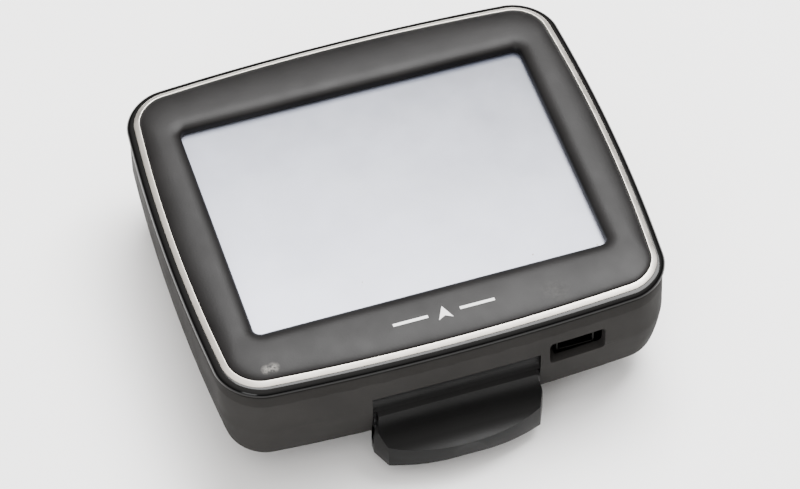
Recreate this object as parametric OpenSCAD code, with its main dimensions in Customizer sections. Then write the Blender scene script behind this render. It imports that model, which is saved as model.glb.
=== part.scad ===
// Portable navigator with a fold-away suction mount.
// X runs to the right of the screen, Y to its top edge and Z out of the screen.
// The origin is the centre of the twist dial's outer face, on which the closed unit lies.

/* [Body] */
// Width of the body across the sides
body_w = 93.2; // [92:0.1:96]
// Height of the body from bottom edge to top edge
body_h = 83.0; // [82:0.1:86]
// Radius of the body's corners seen from the front
corner_r = 8.5; // [8:0.1:10]
// How far each side bulges out between its corners
side_bow = 2.0; // [1:0.1:2.4]
// Thickness of the rear shell's walls
wall = 1.8; // [1.6:0.1:2]

/* [Levels above the dial face] */
// Flat back of the rear shell
back_z = 6.2; // [6.2:0.1:6.4]
// Crease between the side wall and the tapered back
crease_z = 15.7; // [15:0.1:16.5]
// Seam between the rear shell and the front frame
seam_z = 24.8; // [24.6:0.1:25]
// Groove between the front frame and the glossy rim
groove_z = 27.8; // [27.6:0.1:28]
// Middle of the bright trim ring
ring_z = 29.5; // [29.4:0.1:29.7]
// Top of the touch panel
screen_z = 28.0; // [27.9:0.1:28]
// Highest line of the bezel
crest_z = 30.6; // [30.4:0.1:30.8]

/* [Display] */
// Width of the opening in the bezel
window_w = 71.0; // [70:0.1:72]
// Height of the opening in the bezel
window_h = 53.5; // [52:0.1:54]
// How far the opening sits above the middle of the body
window_y = 0.46; // [0:0.02:0.6]

/* [Suction mount] */
// Distance of the hinge pin below the middle of the body
hinge_y = 38.8; // [38.6:0.1:38.9]
// Height of the hinge pin
hinge_z = 12.0; // [11.9:0.1:12.1]
// Half width of the arm at the hinge
arm_half = 16.1; // [15.5:0.1:16.1]
// Radius of the arm's round plate
plate_r = 27.0; // [26:0.5:28]
// Radius of the twist dial
dial_r = 23.0; // [21:0.5:23]
// Radius of the suction cup
cup_r = 26.5; // [25:0.5:26.5]
// Radius of the round recess in the back that takes the cup
dish_r = 29.0; // [29:0.5:30]
// Depth of that recess above the dial face
dish_z = 12.0; // [12:0.1:12.2]
// How far the dial pulls the cup back as it turns through its lock angle
cup_pull = 1.5; // [1:0.1:1.5]
// Angle through which the dial turns to lock the cup
lock_angle = 60; // [50:5:60]

/* [Port, button and speaker] */
// Distance of the charging port from the middle
port_x = 24.7; // [24.5:0.1:25.5]
// Middle of the charging port above the dial face
port_z = 18.8; // [18.7:0.05:18.9]
// Width and height of the port's opening
port_size = [11.4, 5.7]; // [5:0.1:12]
// Distance of the power button from the middle
button_x = 18.0; // [14:1:22]
// Speaker centre seen from the front
speaker_at = [-31.5, 25]; // [-33:0.5:27]

/* [Hidden] */

$fn = 64;
half_w = body_w / 2;
half_h = body_h / 2;
window_half = [window_w / 2, window_h / 2];
window_r = 0.8;
hair = 0.05;                 // gap between pieces that sit against each other
arc_steps = 8;               // segments round each corner of a ring of points
side_steps = 7;              // points along each side between two corners
ring_points = 4 * (arc_steps + 1 + side_steps);

// Trim ring, as distances in from the outer edge of the body
ring_out = 1.2;
ring_in = 2.6;

// Board, display stack and battery levels
board_z = port_z + 2.0;
board_t = 1.0;
tray_z = 22.9;
light_z = 23.2;
lcd_z = 25.4;
touch_z = 26.8;
panel_half = [38.45, 31.95];
tray_half = [38.7, 32.2];
floor_z = back_z + wall;
dish_top = dish_z + 1.6;
battery_size = [42, 34, 5];
battery_at = [0, -3];
pad_t = 0.4;

// Screws
boss_at = [35, 35.4];
boss_r = 2.2;
boss_top = 22.5;
screw_r = 0.95;
screw_head_r = 1.9;
screw_floor = 8.4;
post_at = [[-36.5, -10], [36.5, 8], [36.5, -16]];
post_r = 2.0;

// Hinge: the arm's barrel turns in a socket behind the lower edge of the shell. The lip
// flares out from the barrel in a hollow curve, and a finger scoop lies above the seam.
pin_r = 0.95;
pin_at = [-hinge_y, hinge_z];
barrel_r = 3.55;
socket_r = barrel_r + 0.25;
flare_c = [-48.75, 15.9];
flare_r = 7.4;
lip_front = -48.8;
lip_edge = 8.5;
lip_foot = 4.2;
lip_spread = 1.9;
lip_curve = 38;
lip_side = [17.3, -41.5];
lip_corner = [15.6, -45.4];
foot_half = 17.2;
foot_top = 6.2;
neck_z = 3.4;
scoop_half = 17.0;
scoop_c = [-42.45, 17.3];
scoop_r = 2.65;
cheek_half = 20.5;
washer_r = 2.2;
washer_t = 0.6;
washer_x = (arm_half + scoop_half) / 2;

// Suction mount levels
plate_z = 2.4;
plate_top = 6.0;
recess_z = 4.6;
hub_r = 9.5;
hub_top = 5.9;
boss_web = 7.2;
cam_z = 5.2;
cap_t = 0.8;
cap_r = 12.0;
stem_r = 3.0;
stem_z = 3.2;
cross_r = 0.7;
cross_z = cam_z - cross_r - hair;

// Button
button_size = [11, 4];
button_z = 19.5;

// ---- Shapes that repeat ------------------------------------------------------------

function mix(a, b, t) = a + (b - a) * t;

// Pulls a point of a rounded rectangle in towards the corners, so that the sides bulge.
function bowed(p, a, b, bow) = [
    p[0] * (1 - bow / a * pow(p[1] / b, 2)),
    p[1] * (1 - bow / b * pow(p[0] / a, 2))
];

// Corner k of a rounded rectangle: its arc, then the side that leads to the next corner.
function corner(a, b, r, k) =
    let (
        sx = (k == 0 || k == 3) ? 1 : -1,
        sy = (k < 2) ? 1 : -1,
        c = [sx * (a - r), sy * (b - r)],
        last = c + r * [cos(90 * k + 90), sin(90 * k + 90)],
        next = (k % 2 == 0) ? [-last[0], last[1]] : [last[0], -last[1]]
    )
    concat(
        [for (i = [0:arc_steps]) c + r * [cos(90 * (k + i / arc_steps)), sin(90 * (k + i / arc_steps))]],
        [for (i = [1:side_steps]) mix(last, next, i / (side_steps + 1))]
    );

// One closed ring of points at height z, anticlockwise seen from above.
function ring(a, b, r, bow, z, dy = 0) = [
    for (k = [0:3]) for (p = corner(a, b, r, k))
        let (q = bowed(p, a, b, bow)) [q[0], q[1] + dy, z]
];

// Ring at a distance in from the outer edge of the body.
function body_ring(inset, z) =
    ring(half_w - inset, half_h - inset, max(corner_r - inset, 0.6), side_bow, z);

// Ring between the edge of the bezel opening, grown by d, and the inner edge of the trim.
function bezel_ring(d, t, z) =
    let (edge = ring_in + 0.1)
    ring(mix(window_half[0] + d, half_w - edge, t), mix(window_half[1] + d, half_h - edge, t),
        mix(window_r + d, corner_r - edge, t), mix(0, side_bow, t), z, mix(window_y, 0, t));

function band(i, j) = [
    for (k = [0:ring_points - 1])
        let (n = (k + 1) % ring_points)
        each [[i * ring_points + k, j * ring_points + k, j * ring_points + n],
              [i * ring_points + k, j * ring_points + n, i * ring_points + n]]
];

// Solid through a list of rings, closed by a flat face at the first ring and the last.
module loft(rings) {
    last = len(rings) - 1;
    polyhedron(
        points = [for (r = rings) each r],
        faces = concat(
            [[for (k = [0:ring_points - 1]) k]],
            [for (i = [0:last - 1]) each band(i, i + 1)],
            [[for (k = [ring_points - 1:-1:0]) last * ring_points + k]]
        )
    );
}

// Frame through a list of rings, whose last ring joins up with its first.
module frame_loft(rings) {
    last = len(rings) - 1;
    polyhedron(
        points = [for (r = rings) each r],
        faces = concat([for (i = [0:last - 1]) each band(i, i + 1)], band(last, 0))
    );
}

// Plate of a given half size, lying between two levels.
module plate(half, low, high, at = [0, 0]) {
    translate([at[0] - half[0], at[1] - half[1], low])
        cube([2 * half[0], 2 * half[1], high - low]);
}

// Upright cylinder between two levels.
module post(r, low, high, at = [0, 0]) {
    translate([at[0], at[1], low])
        cylinder(r = r, h = high - low);
}

// Cylinder that lies along X from x0 to x1, at a point of the YZ plane.
module bar_x(r, x0, x1, yz) {
    translate([x0, yz[0], yz[1]])
        rotate([0, 90, 0])
            cylinder(r = r, h = x1 - x0);
}

// Flat profile drawn in Y and Z, made solid from -half to half along X.
module along_x(half) {
    translate([-half, 0, 0])
        rotate([90, 0, 90])
            linear_extrude(2 * half)
                children();
}

module at_corners(x, y) {
    for (sx = [-1, 1])
        for (sy = [-1, 1])
            translate([sx * x, sy * y, 0])
                children();
}

// ---- Front -------------------------------------------------------------------------

// Satin frame round the display, pillowed up to a crest close to the opening.
module bezel() {
    color("#3b3c3f")
        frame_loft([
            bezel_ring(0, 0.85, 28.35),
            bezel_ring(0, 0.85, 28.65),
            bezel_ring(0, 1, 28.65),
            bezel_ring(0, 1, ring_z + 0.25),
            bezel_ring(4, 0.8, ring_z + 0.6),
            bezel_ring(4, 0.5, crest_z - 0.15),
            bezel_ring(4, 0.2, crest_z - 0.02),
            bezel_ring(3.2, 0, crest_z),
            bezel_ring(2, 0, crest_z - 0.2),
            bezel_ring(1.15, 0, crest_z - 0.6),
            bezel_ring(0, 0, screen_z + 0.35)
        ]);
}

module trim_ring() {
    color("#d9dadc")
        frame_loft([
            body_ring(ring_out + hair, 28.65),
            body_ring(ring_out + hair, ring_z - 0.35),
            body_ring(ring_out + 0.2, ring_z - 0.22),
            body_ring(ring_in - 0.15, ring_z + 0.26),
            body_ring(ring_in, ring_z + 0.18),
            body_ring(ring_in, 28.65)
        ]);
}

// Glossy rim outside the trim ring, with the ledge that carries ring and bezel.
module glossy_rim() {
    color("#101114")
        frame_loft([
            body_ring(0.35, groove_z + hair),
            body_ring(0.05, groove_z + 0.35),
            body_ring(0, groove_z + 0.7),
            body_ring(0.3, groove_z + 1.1),
            body_ring(0.75, groove_z + 1.33),
            body_ring(ring_out, ring_z - 0.3),
            body_ring(ring_out, 28.6),
            body_ring(3.6, 28.6),
            body_ring(3.6, groove_z + hair)
        ]);
}

// Satin frame behind the rim. It carries the display and takes the housing screws.
module front_frame() {
    color("#2b2c2f")
        difference() {
            union() {
                frame_loft([
                    body_ring(2.2, seam_z - 1),
                    body_ring(2.2, seam_z + hair),
                    body_ring(0.55, seam_z + hair),
                    body_ring(0.2, seam_z + 0.4),
                    body_ring(0.1, groove_z - 0.35),
                    body_ring(0.35, groove_z),
                    body_ring(4.2, groove_z),
                    body_ring(4.2, seam_z - 1)
                ]);
                at_corners(boss_at[0], boss_at[1])
                    post(boss_r, boss_top + 0.1, groove_z);
            }
            at_corners(boss_at[0], boss_at[1])
                post(screw_r, boss_top, groove_z - 0.8);
        }
}

module screen_gasket() {
    color("#17181a")
        difference() {
            plate([window_half[0] + 2.6, window_half[1] + 2.6], screen_z, 28.35, [0, window_y]);
            plate([window_half[0] + 1, window_half[1] + 1], screen_z - 1, 29, [0, window_y]);
        }
}

// ---- Rear shell --------------------------------------------------------------------

// Outer skin of the rear shell: [inset, level] pairs from the back plane to the seam.
shell_skin = [[4.8, back_z], [3.2, back_z + 0.35], [2.1, back_z + 1.1], [1.5, back_z + 2.4],
    [0.85, 11.5], [0.3, crease_z], [0.2, crease_z + 1.2], [0.3, seam_z - 0.3], [0.6, seam_z]];

module shell_outside() {
    loft([for (s = shell_skin) body_ring(s[0], s[1])]);
}

// Finger scoop, the socket for the barrel, and the notch for the arm below it.
module hinge_bay() {
    bar_x(scoop_r, -scoop_half, scoop_half, scoop_c);
    bar_x(socket_r, -scoop_half, scoop_half, pin_at);
    translate([-scoop_half, -60, 0])
        cube([2 * scoop_half, 60 - hinge_y + socket_r, hinge_z]);
}

// Walls of the bay inside the shell.
module bay_walls() {
    intersection() {
        shell_outside();
        union() {
            translate([-cheek_half, -half_h, 0])
                cube([2 * cheek_half, half_h - hinge_y + socket_r + wall, hinge_z + socket_r + wall]);
            translate([-cheek_half, -half_h, 0])
                cube([2 * cheek_half, half_h + scoop_c[0] + scoop_r + wall, scoop_c[1] + scoop_r + wall]);
        }
    }
}

// Hexagonal field of round holes.
module grille(pitch, rings, r) {
    for (row = [-rings:rings])
        for (i = [0:2 * rings - abs(row)])
            translate([pitch * (i - rings + abs(row) / 2), pitch * row * sqrt(3) / 2, 0])
                cylinder(r = r, h = wall + 1, $fn = 24);
}

module rear_shell() {
    color("#2a2b2e")
        difference() {
            union() {
                loft(concat(
                    [for (s = shell_skin) body_ring(s[0], s[1])],
                    [body_ring(2.1, seam_z), body_ring(2.1, crease_z), body_ring(2.9, 10.4),
                     body_ring(4.6, floor_z + 0.4), body_ring(6.0, floor_z)]
                ));
                post(dish_r + wall, floor_z - 0.5, dish_top);
                bay_walls();
                at_corners(boss_at[0], boss_at[1])
                    post(boss_r, floor_z - 0.3, boss_top);
                for (p = post_at)
                    post(post_r, floor_z - 0.3, board_z, p);
                post(9.2, floor_z - 0.3, floor_z + 2, speaker_at);
            }
            post(dish_r, 0, dish_z);
            hinge_bay();
            bar_x(pin_r, -cheek_half - 1, cheek_half + 1, pin_at);
            post(8.2, floor_z, floor_z + 3, speaker_at);
            translate([speaker_at[0], speaker_at[1], back_z - 0.5])
                grille(2.9, 2, 0.8);
            at_corners(boss_at[0], boss_at[1]) {
                post(screw_head_r + 0.6, 0, screw_floor);
                post(screw_r + 0.15, 0, boss_top + 1);
            }
            for (p = post_at)
                post(0.7, board_z - 5, board_z + 1, p);
            translate([port_x - port_size[0] / 2, -half_h - 3, port_z - port_size[1] / 2])
                cube([port_size[0], 6.8, port_size[1]]);
            translate([button_x - button_size[0] / 2 - 0.15, half_h - 4, button_z - button_size[1] / 2 - 0.15])
                cube([button_size[0] + 0.3, 8, button_size[1] + 0.3]);
        }
}

// ---- Display stack -----------------------------------------------------------------

module touch_panel() {
    color("#c7cad1")
        plate(panel_half, touch_z, screen_z, [0, window_y]);
}

module lcd_cell() {
    color("#9aa0aa")
        plate(panel_half - [0.6, 0.9], lcd_z, touch_z, [0, window_y]);
}

module backlight_unit() {
    color("#e9e9e4")
        plate(tray_half - [0.35, 0.35], light_z, lcd_z, [0, window_y]);
}

module display_tray() {
    color("#b6b8ba")
        difference() {
            plate(tray_half, tray_z, lcd_z, [0, window_y]);
            plate(tray_half - [0.3, 0.3], light_z, lcd_z + 1, [0, window_y]);
        }
}

// Flexible tail of the display, from the cell's lower edge round the tray to the board.
module lcd_flex() {
    color("#b5762e")
        along_x(9)
            polygon([[-30.7, 25.6], [-32.5, 25.6], [-32.5, 22.3], [-27, 22.3], [-27, 22.1],
                     [-32.7, 22.1], [-32.7, 25.8], [-30.7, 25.8]]);
}

// Flexible tail of the touch panel, down past the tray's left side to the board.
module touch_flex() {
    color("#b5762e")
        translate([0, 4, 0])
            rotate([90, 0, 0])
                linear_extrude(8)
                    polygon([[-38.5, 27.1], [-39.3, 27.1], [-39.3, 22.3], [-35, 22.3],
                             [-35, 22.1], [-39.5, 22.1], [-39.5, 27.3], [-38.5, 27.3]]);
}

// ---- Electronics -------------------------------------------------------------------

module main_board() {
    color("#1f5a3a")
        difference() {
            translate([0, 0, board_z])
                linear_extrude(board_t)
                    polygon([[-40, -30], [-33, -36.8], [-21, -36.8], [-21, -33], [21, -33],
                             [21, -36.8], [33, -36.8], [40, -30], [40, 30], [34, 36], [-34, 36],
                             [-40, 30]]);
            at_corners(boss_at[0], boss_at[1])
                post(boss_r + 0.4, board_z - 1, board_z + 3);
            for (p = post_at)
                post(0.7, board_z - 1, board_z + 3, p);
        }
}

module processor() {
    color("#1b1c1e")
        plate([7, 7], board_z - 1.3, board_z, [-14, 8]);
}

module memory_chips() {
    color("#232427") {
        plate([5, 6], board_z - 1.1, board_z, [1, 9]);
        plate([5, 6], board_z - 1.1, board_z, [13, 9]);
    }
}

module radio_shield() {
    color("#b9bbbd")
        difference() {
            plate([9, 7], board_z - 1.7, board_z, [19.5, 26]);
            plate([8.75, 6.75], board_z - 1.45, board_z + 1, [19.5, 26]);
        }
}

module gps_antenna() {
    color("#c9b38a")
        plate([7.5, 7.5], board_z - 4.5, board_z - 0.5, [0, 28.5]);
}

module antenna_pad() {
    color("#e4e4e0")
        plate([7, 7], board_z - 0.5, board_z, [0, 28.5]);
}

// Mini B socket: a folded steel shell round a moulded tongue.
module usb_socket() {
    mouth_y = -38.8;
    depth = 9.2;
    color("#b9bbbd") {
        difference() {
            translate([port_x - 3.85, mouth_y, board_z - 3.95])
                cube([7.7, depth, 3.95]);
            translate([port_x - 3.5, mouth_y - 1, board_z - 3.6])
                cube([7, depth - 0.4 + 1, 3.25]);
        }
        translate([port_x - 2.4, mouth_y + 1.2, board_z - 2.4])
            cube([4.8, depth - 1.2, 1.0]);
    }
}

module power_switch() {
    color("#d5d5d2") {
        plate([3, 1.4], board_z - 3.2, board_z, [button_x, 35.0]);
        translate([button_x, 36.3, button_z])
            rotate([-90, 0, 0])
                cylinder(r = 0.9, h = 0.8);
    }
}

// Key of the power button: cap through the wall, retaining flange and push rod.
module power_button() {
    top = half_h + 0.35;
    color("#3a3b3e") {
        translate([button_x - button_size[0] / 2, 38.2, button_z - button_size[1] / 2])
            cube([button_size[0], top - 38.2, button_size[1]]);
        translate([button_x - 6.5, 38.0, button_z - 2.9])
            cube([13, 0.7, 5.8]);
        translate([button_x, 37.75, button_z])
            rotate([-90, 0, 0])
                cylinder(r = 1.2, h = 1);
    }
}

module battery() {
    color("#3f5f8a")
        plate([battery_size[0] / 2, battery_size[1] / 2], dish_top + pad_t,
            dish_top + pad_t + battery_size[2], battery_at);
}

module battery_pad() {
    color("#dcdcd6")
        plate([16, 12], dish_top, dish_top + pad_t, battery_at);
}

// Two insulated leads that rise from the battery's end to a plug under the board.
module battery_leads() {
    lead_r = 0.45;
    bend_r = 1.6;
    end_y = battery_at[1] + battery_size[1] / 2;
    lead_z = dish_top + pad_t + battery_size[2] / 2;
    color("#b3261e")
        for (x = [-9, -7.4])
            translate([x, end_y, lead_z]) {
                rotate([-90, 0, 0])
                    cylinder(r = lead_r, h = 1.2, $fn = 24);
                translate([0, 1.2, bend_r])
                    rotate([0, 90, 0])
                        rotate_extrude(angle = 90, $fn = 24)
                            translate([bend_r, 0])
                                circle(r = lead_r);
                translate([0, 1.2 + bend_r, bend_r])
                    cylinder(r = lead_r, h = 1.0, $fn = 24);
            }
    color("#e8e4d8")
        plate([2.2, 1.4], lead_z + bend_r + 1, board_z, [-8.2, end_y + 1.2 + bend_r]);
}

module speaker() {
    low = floor_z + 0.4;
    color("#2a2a2c")
        translate([speaker_at[0], speaker_at[1], 0])
            rotate_extrude()
                polygon([[0, low + 0.7], [3, low + 0.7], [6.2, low + 0.1], [6.4, low], [8, low],
                         [8, low + 1.2], [6.2, low + 2.4], [5.4, low + 3.5], [0, low + 3.5]]);
}

module speaker_gasket() {
    color("#17181a")
        difference() {
            post(8, floor_z + 0.1, floor_z + 0.4, speaker_at);
            post(6.6, 0, 20, speaker_at);
        }
}

module speaker_mesh() {
    color("#111214")
        post(7.6, floor_z, floor_z + 0.1, speaker_at);
}

// ---- Fasteners ---------------------------------------------------------------------

// Pan head screw with a cross recess, head down, its head resting at level z.
module screw(head_r, head_t, r, length) {
    difference() {
        union() {
            translate([0, 0, -head_t])
                cylinder(r = head_r, h = head_t);
            cylinder(r = r, h = length);
        }
        for (a = [0, 90])
            rotate([0, 0, a])
                translate([-head_r * 0.55, -0.25, -head_t - 1])
                    cube([head_r * 1.1, 0.5, head_t * 0.6 + 1]);
    }
}

module housing_screws() {
    color("#8f9194")
        at_corners(boss_at[0], boss_at[1])
            translate([0, 0, screw_floor])
                screw(screw_head_r, 1.2, screw_r, groove_z - 1 - screw_floor);
}

module board_screws() {
    color("#8f9194")
        for (p = post_at)
            translate([p[0], p[1], board_z + board_t])
                rotate([180, 0, 0])
                    screw(1.5, 0.7, 0.7, 5);
}

module hinge_pin() {
    color("#a9abae")
        bar_x(pin_r, -20, 20, pin_at);
}

module friction_washers() {
    color("#26272a")
        for (x = [-washer_x, washer_x])
            difference() {
                bar_x(washer_r, x - washer_t / 2, x + washer_t / 2, pin_at);
                bar_x(pin_r, x - washer_t, x + washer_t, pin_at);
            }
}

// ---- Suction mount -----------------------------------------------------------------

// Section of the arm at the hinge: barrel, neck below it, and the lip that flares out.
module lip_section() {
    translate(pin_at)
        circle(r = barrel_r);
    difference() {
        polygon([[-hinge_y + barrel_r, hinge_z], [-hinge_y + barrel_r, neck_z], [-45.5, neck_z + 0.1],
                 [lip_front + 0.8, lip_foot], [lip_front + 0.2, lip_foot + 0.4],
                 [lip_front, lip_edge], [-43.5, 14.2], [-41.35, 14.4], [-hinge_y, hinge_z + 2]]);
        translate(flare_c)
            circle(r = flare_r, $fn = 96);
    }
}

// Plan of the lip: sides that draw in towards a gently curved front edge.
module lip_plan() {
    intersection() {
        translate([0, lip_front + lip_curve])
            circle(r = lip_curve, $fn = 128);
        polygon([[-arm_half, -hinge_y + barrel_r + 1], [-arm_half, -41.2], [-lip_side[0], lip_side[1]],
                 [-lip_corner[0], lip_corner[1]], [-12, -50], [12, -50],
                 [lip_corner[0], lip_corner[1]], [lip_side[0], lip_side[1]], [arm_half, -41.2],
                 [arm_half, -hinge_y + barrel_r + 1]]);
    }
}

// Foot of the lip, which is widest where it comes out from under the shell.
module lip_foot_plate() {
    translate([0, 0, neck_z])
        linear_extrude(foot_top - neck_z)
            polygon([[-arm_half, -37], [-foot_half + 0.4, -38.6], [-foot_half, -39.8],
                     [-lip_side[0], lip_side[1]], [-arm_half, -44], [arm_half, -44],
                     [lip_side[0], lip_side[1]], [foot_half, -39.8], [foot_half - 0.4, -38.6],
                     [arm_half, -37]]);
}

// Front view of the lip: its sides spread from the seam down to the foot.
module lip_front_view() {
    wide = arm_half + lip_spread;
    polygon([[-wide, 2], [-wide, lip_foot + 1], [-arm_half, 14], [-arm_half, 20], [arm_half, 20],
             [arm_half, 14], [wide, lip_foot + 1], [wide, 2]]);
}

module mount_arm() {
    color("#1f2022")
        difference() {
            union() {
                intersection() {
                    along_x(arm_half + lip_spread + 1)
                        lip_section();
                    linear_extrude(20)
                        lip_plan();
                    translate([0, -30, 0])
                        rotate([90, 0, 0])
                            linear_extrude(22)
                                lip_front_view();
                }
                post(plate_r, plate_z, plate_top);
                post(11.5, plate_top - 0.5, boss_web);
                lip_foot_plate();
                translate([0, 0, neck_z])
                    linear_extrude(plate_top - neck_z)
                        polygon([[-arm_half, -hinge_y], [-17, -20], [17, -20], [arm_half, -hinge_y]]);
            }
            bar_x(pin_r + 0.08, -arm_half - 2, arm_half + 2, pin_at);
            post(dial_r + 0.4, 0, recess_z);
            post(hub_r + 0.4, 0, plate_top);
            post(stem_r + 0.2, 0, 10);
        }
}

// Stepped ramps on which the cross pin rides as the dial turns. Each step lies on the last
// and starts one step further round.
module cam_ramps(steps) {
    step = lock_angle / steps;
    lead_in = 11;
    for (side = [0, 180])
        for (k = [1:steps - 1])
            rotate([0, 0, side - lead_in - (steps + 0.5) * step + k * 0.3])
                translate([0, 0, cam_z - k * cup_pull / steps])
                    rotate_extrude(angle = (steps - k + 0.5) * step - k * 0.6)
                        translate([3.9 + k * 0.05, 0])
                            square([4.6, k * (cup_pull / steps + 0.02) + 0.2]);
}

module twist_dial() {
    grips = 24;
    color("#26272a")
        difference() {
            union() {
                rotate_extrude($fn = 128)
                    polygon([[stem_r + 0.3, cam_z], [8.3, cam_z], [8.3, cap_t + 0.1],
                             [cap_r + 0.1, cap_t + 0.1], [cap_r + 0.1, 0], [dial_r - 0.6, 0],
                             [dial_r, 0.6], [dial_r, recess_z - 0.2], [hub_r, recess_z - 0.2],
                             [hub_r, hub_top], [stem_r + 0.3, hub_top]]);
                cam_ramps(6);
            }
            for (i = [0:grips - 1])
                rotate([0, 0, 360 / grips * i])
                    post(0.9, 0.75, plate_z - 0.3, [dial_r + 0.4, 0]);
        }
}

module dial_cap() {
    color("#3a3b3e")
        post(cap_r, 0.1, cap_t + 0.1);
}

module stem_solid() {
    post(stem_r, stem_z, 9.4);
    post(7, 9.4, 10.0);
}

module cup_stem() {
    color("#c9c9c4")
        difference() {
            stem_solid();
            bar_x(cross_r, -10, 10, [0, cross_z]);
        }
}

module cross_pin() {
    color("#a9abae")
        bar_x(cross_r, -7.6, 7.6, [0, cross_z]);
}

module suction_cup() {
    color("#4a4c50")
        difference() {
            union() {
                rotate_extrude($fn = 96)
                    polygon([[0, 8.8], [10, 8.8], [12, 9.3], [20, 10.3], [cup_r, 11.1],
                             [cup_r, 11.5], [22, 11.1], [12, 10.75], [0, 10.7]]);
                translate([-4, cup_r - 1.5, 10.6])
                    cube([8, 3, 0.7]);
            }
            stem_solid();
        }
}

bezel();
trim_ring();
glossy_rim();
front_frame();
rear_shell();
screen_gasket();
touch_panel();
lcd_cell();
backlight_unit();
display_tray();
main_board();
processor();
memory_chips();
radio_shield();
gps_antenna();
antenna_pad();
usb_socket();
power_switch();
power_button();
battery();
battery_pad();
battery_leads();
speaker();
speaker_gasket();
speaker_mesh();
lcd_flex();
touch_flex();
housing_screws();
board_screws();
hinge_pin();
friction_washers();
mount_arm();
twist_dial();
dial_cap();
cup_stem();
cross_pin();
suction_cup();
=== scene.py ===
"""Looks of a portable navigator: lacquered bezel, bright trim, satin shell and folding suction mount.

Lengths are written in millimetres and turned to metres by MM. X runs to the right of the screen,
Y to its top edge and Z out of it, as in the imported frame.
"""

import logging
import math
from dataclasses import dataclass, field
from enum import Enum
from typing import Any, Iterable, Protocol, Sequence

import bmesh
import bpy
import numpy as np
from mathutils import Matrix, Vector
from mathutils.bvhtree import BVHTree


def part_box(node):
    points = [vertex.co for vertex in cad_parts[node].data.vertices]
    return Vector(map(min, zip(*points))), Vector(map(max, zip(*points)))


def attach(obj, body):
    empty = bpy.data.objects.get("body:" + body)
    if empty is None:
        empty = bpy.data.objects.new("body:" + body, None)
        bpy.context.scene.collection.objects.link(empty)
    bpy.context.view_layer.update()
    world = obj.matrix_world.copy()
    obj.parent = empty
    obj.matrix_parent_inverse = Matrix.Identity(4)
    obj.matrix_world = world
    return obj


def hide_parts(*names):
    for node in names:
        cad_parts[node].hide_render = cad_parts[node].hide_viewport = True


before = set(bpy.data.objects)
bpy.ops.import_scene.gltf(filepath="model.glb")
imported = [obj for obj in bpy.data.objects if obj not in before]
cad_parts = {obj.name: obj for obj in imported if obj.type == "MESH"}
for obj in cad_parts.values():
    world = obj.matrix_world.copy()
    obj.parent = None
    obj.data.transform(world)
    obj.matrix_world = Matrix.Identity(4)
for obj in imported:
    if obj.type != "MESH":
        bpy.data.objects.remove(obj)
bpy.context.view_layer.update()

MM = 0.001
# Places of the colour mix node's factor, first and second colour, and result.
MIX_FACTOR, MIX_A, MIX_B, MIX_RESULT = 0, 6, 7, 2
LOG = logging.getLogger("navigator")
# Place of the arm's hinge pin in Y and Z.
HINGE_PIN = (-38.8, 12.0)
# Half width, half height and corner radius of the power key's face.
KEY_FACE = (5.5, 2.0, 1.75)
Point = Sequence[float]
Socket = bpy.types.NodeSocket


# ---- Colour and nodes ----------------------------------------------------------------


def linear(hex_colour: str) -> tuple[float, float, float, float]:
    """Turns an sRGB hex colour to linear.

    Args:
        hex_colour: Six hex digits with a leading hash.

    Returns:
        Red, green, blue and full alpha, ready for a colour socket.
    """
    channels = [int(hex_colour[i:i + 2], 16) / 255 for i in (1, 3, 5)]
    red, green, blue = [c / 12.92 if c <= 0.04045 else ((c + 0.055) / 1.055) ** 2.4 for c in channels]
    return red, green, blue, 1.0


def add_node(tree: bpy.types.NodeTree, kind: str, inputs: dict[Any, Any] | None = None,
             **settings: Any) -> bpy.types.Node:
    """Adds a shader node.

    Args:
        tree: Node tree to add to.
        kind: Type name of the node.
        inputs: Input name or number to a value, or to an output socket that feeds it.
        settings: Attributes of the node.

    Returns:
        The new node.
    """
    node = tree.nodes.new(kind)
    for name, value in settings.items():
        setattr(node, name, value)
    for key, value in (inputs or {}).items():
        if isinstance(value, bpy.types.NodeSocket):
            tree.links.new(value, node.inputs[key])
        else:
            node.inputs[key].default_value = value
    return node


def per_metre(size_mm: float) -> float:
    """Scale of a pattern.

    Args:
        size_mm: Rough size of its features in millimetres.

    Returns:
        Features in a metre.
    """
    return 1.0 / (size_mm * MM)


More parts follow.
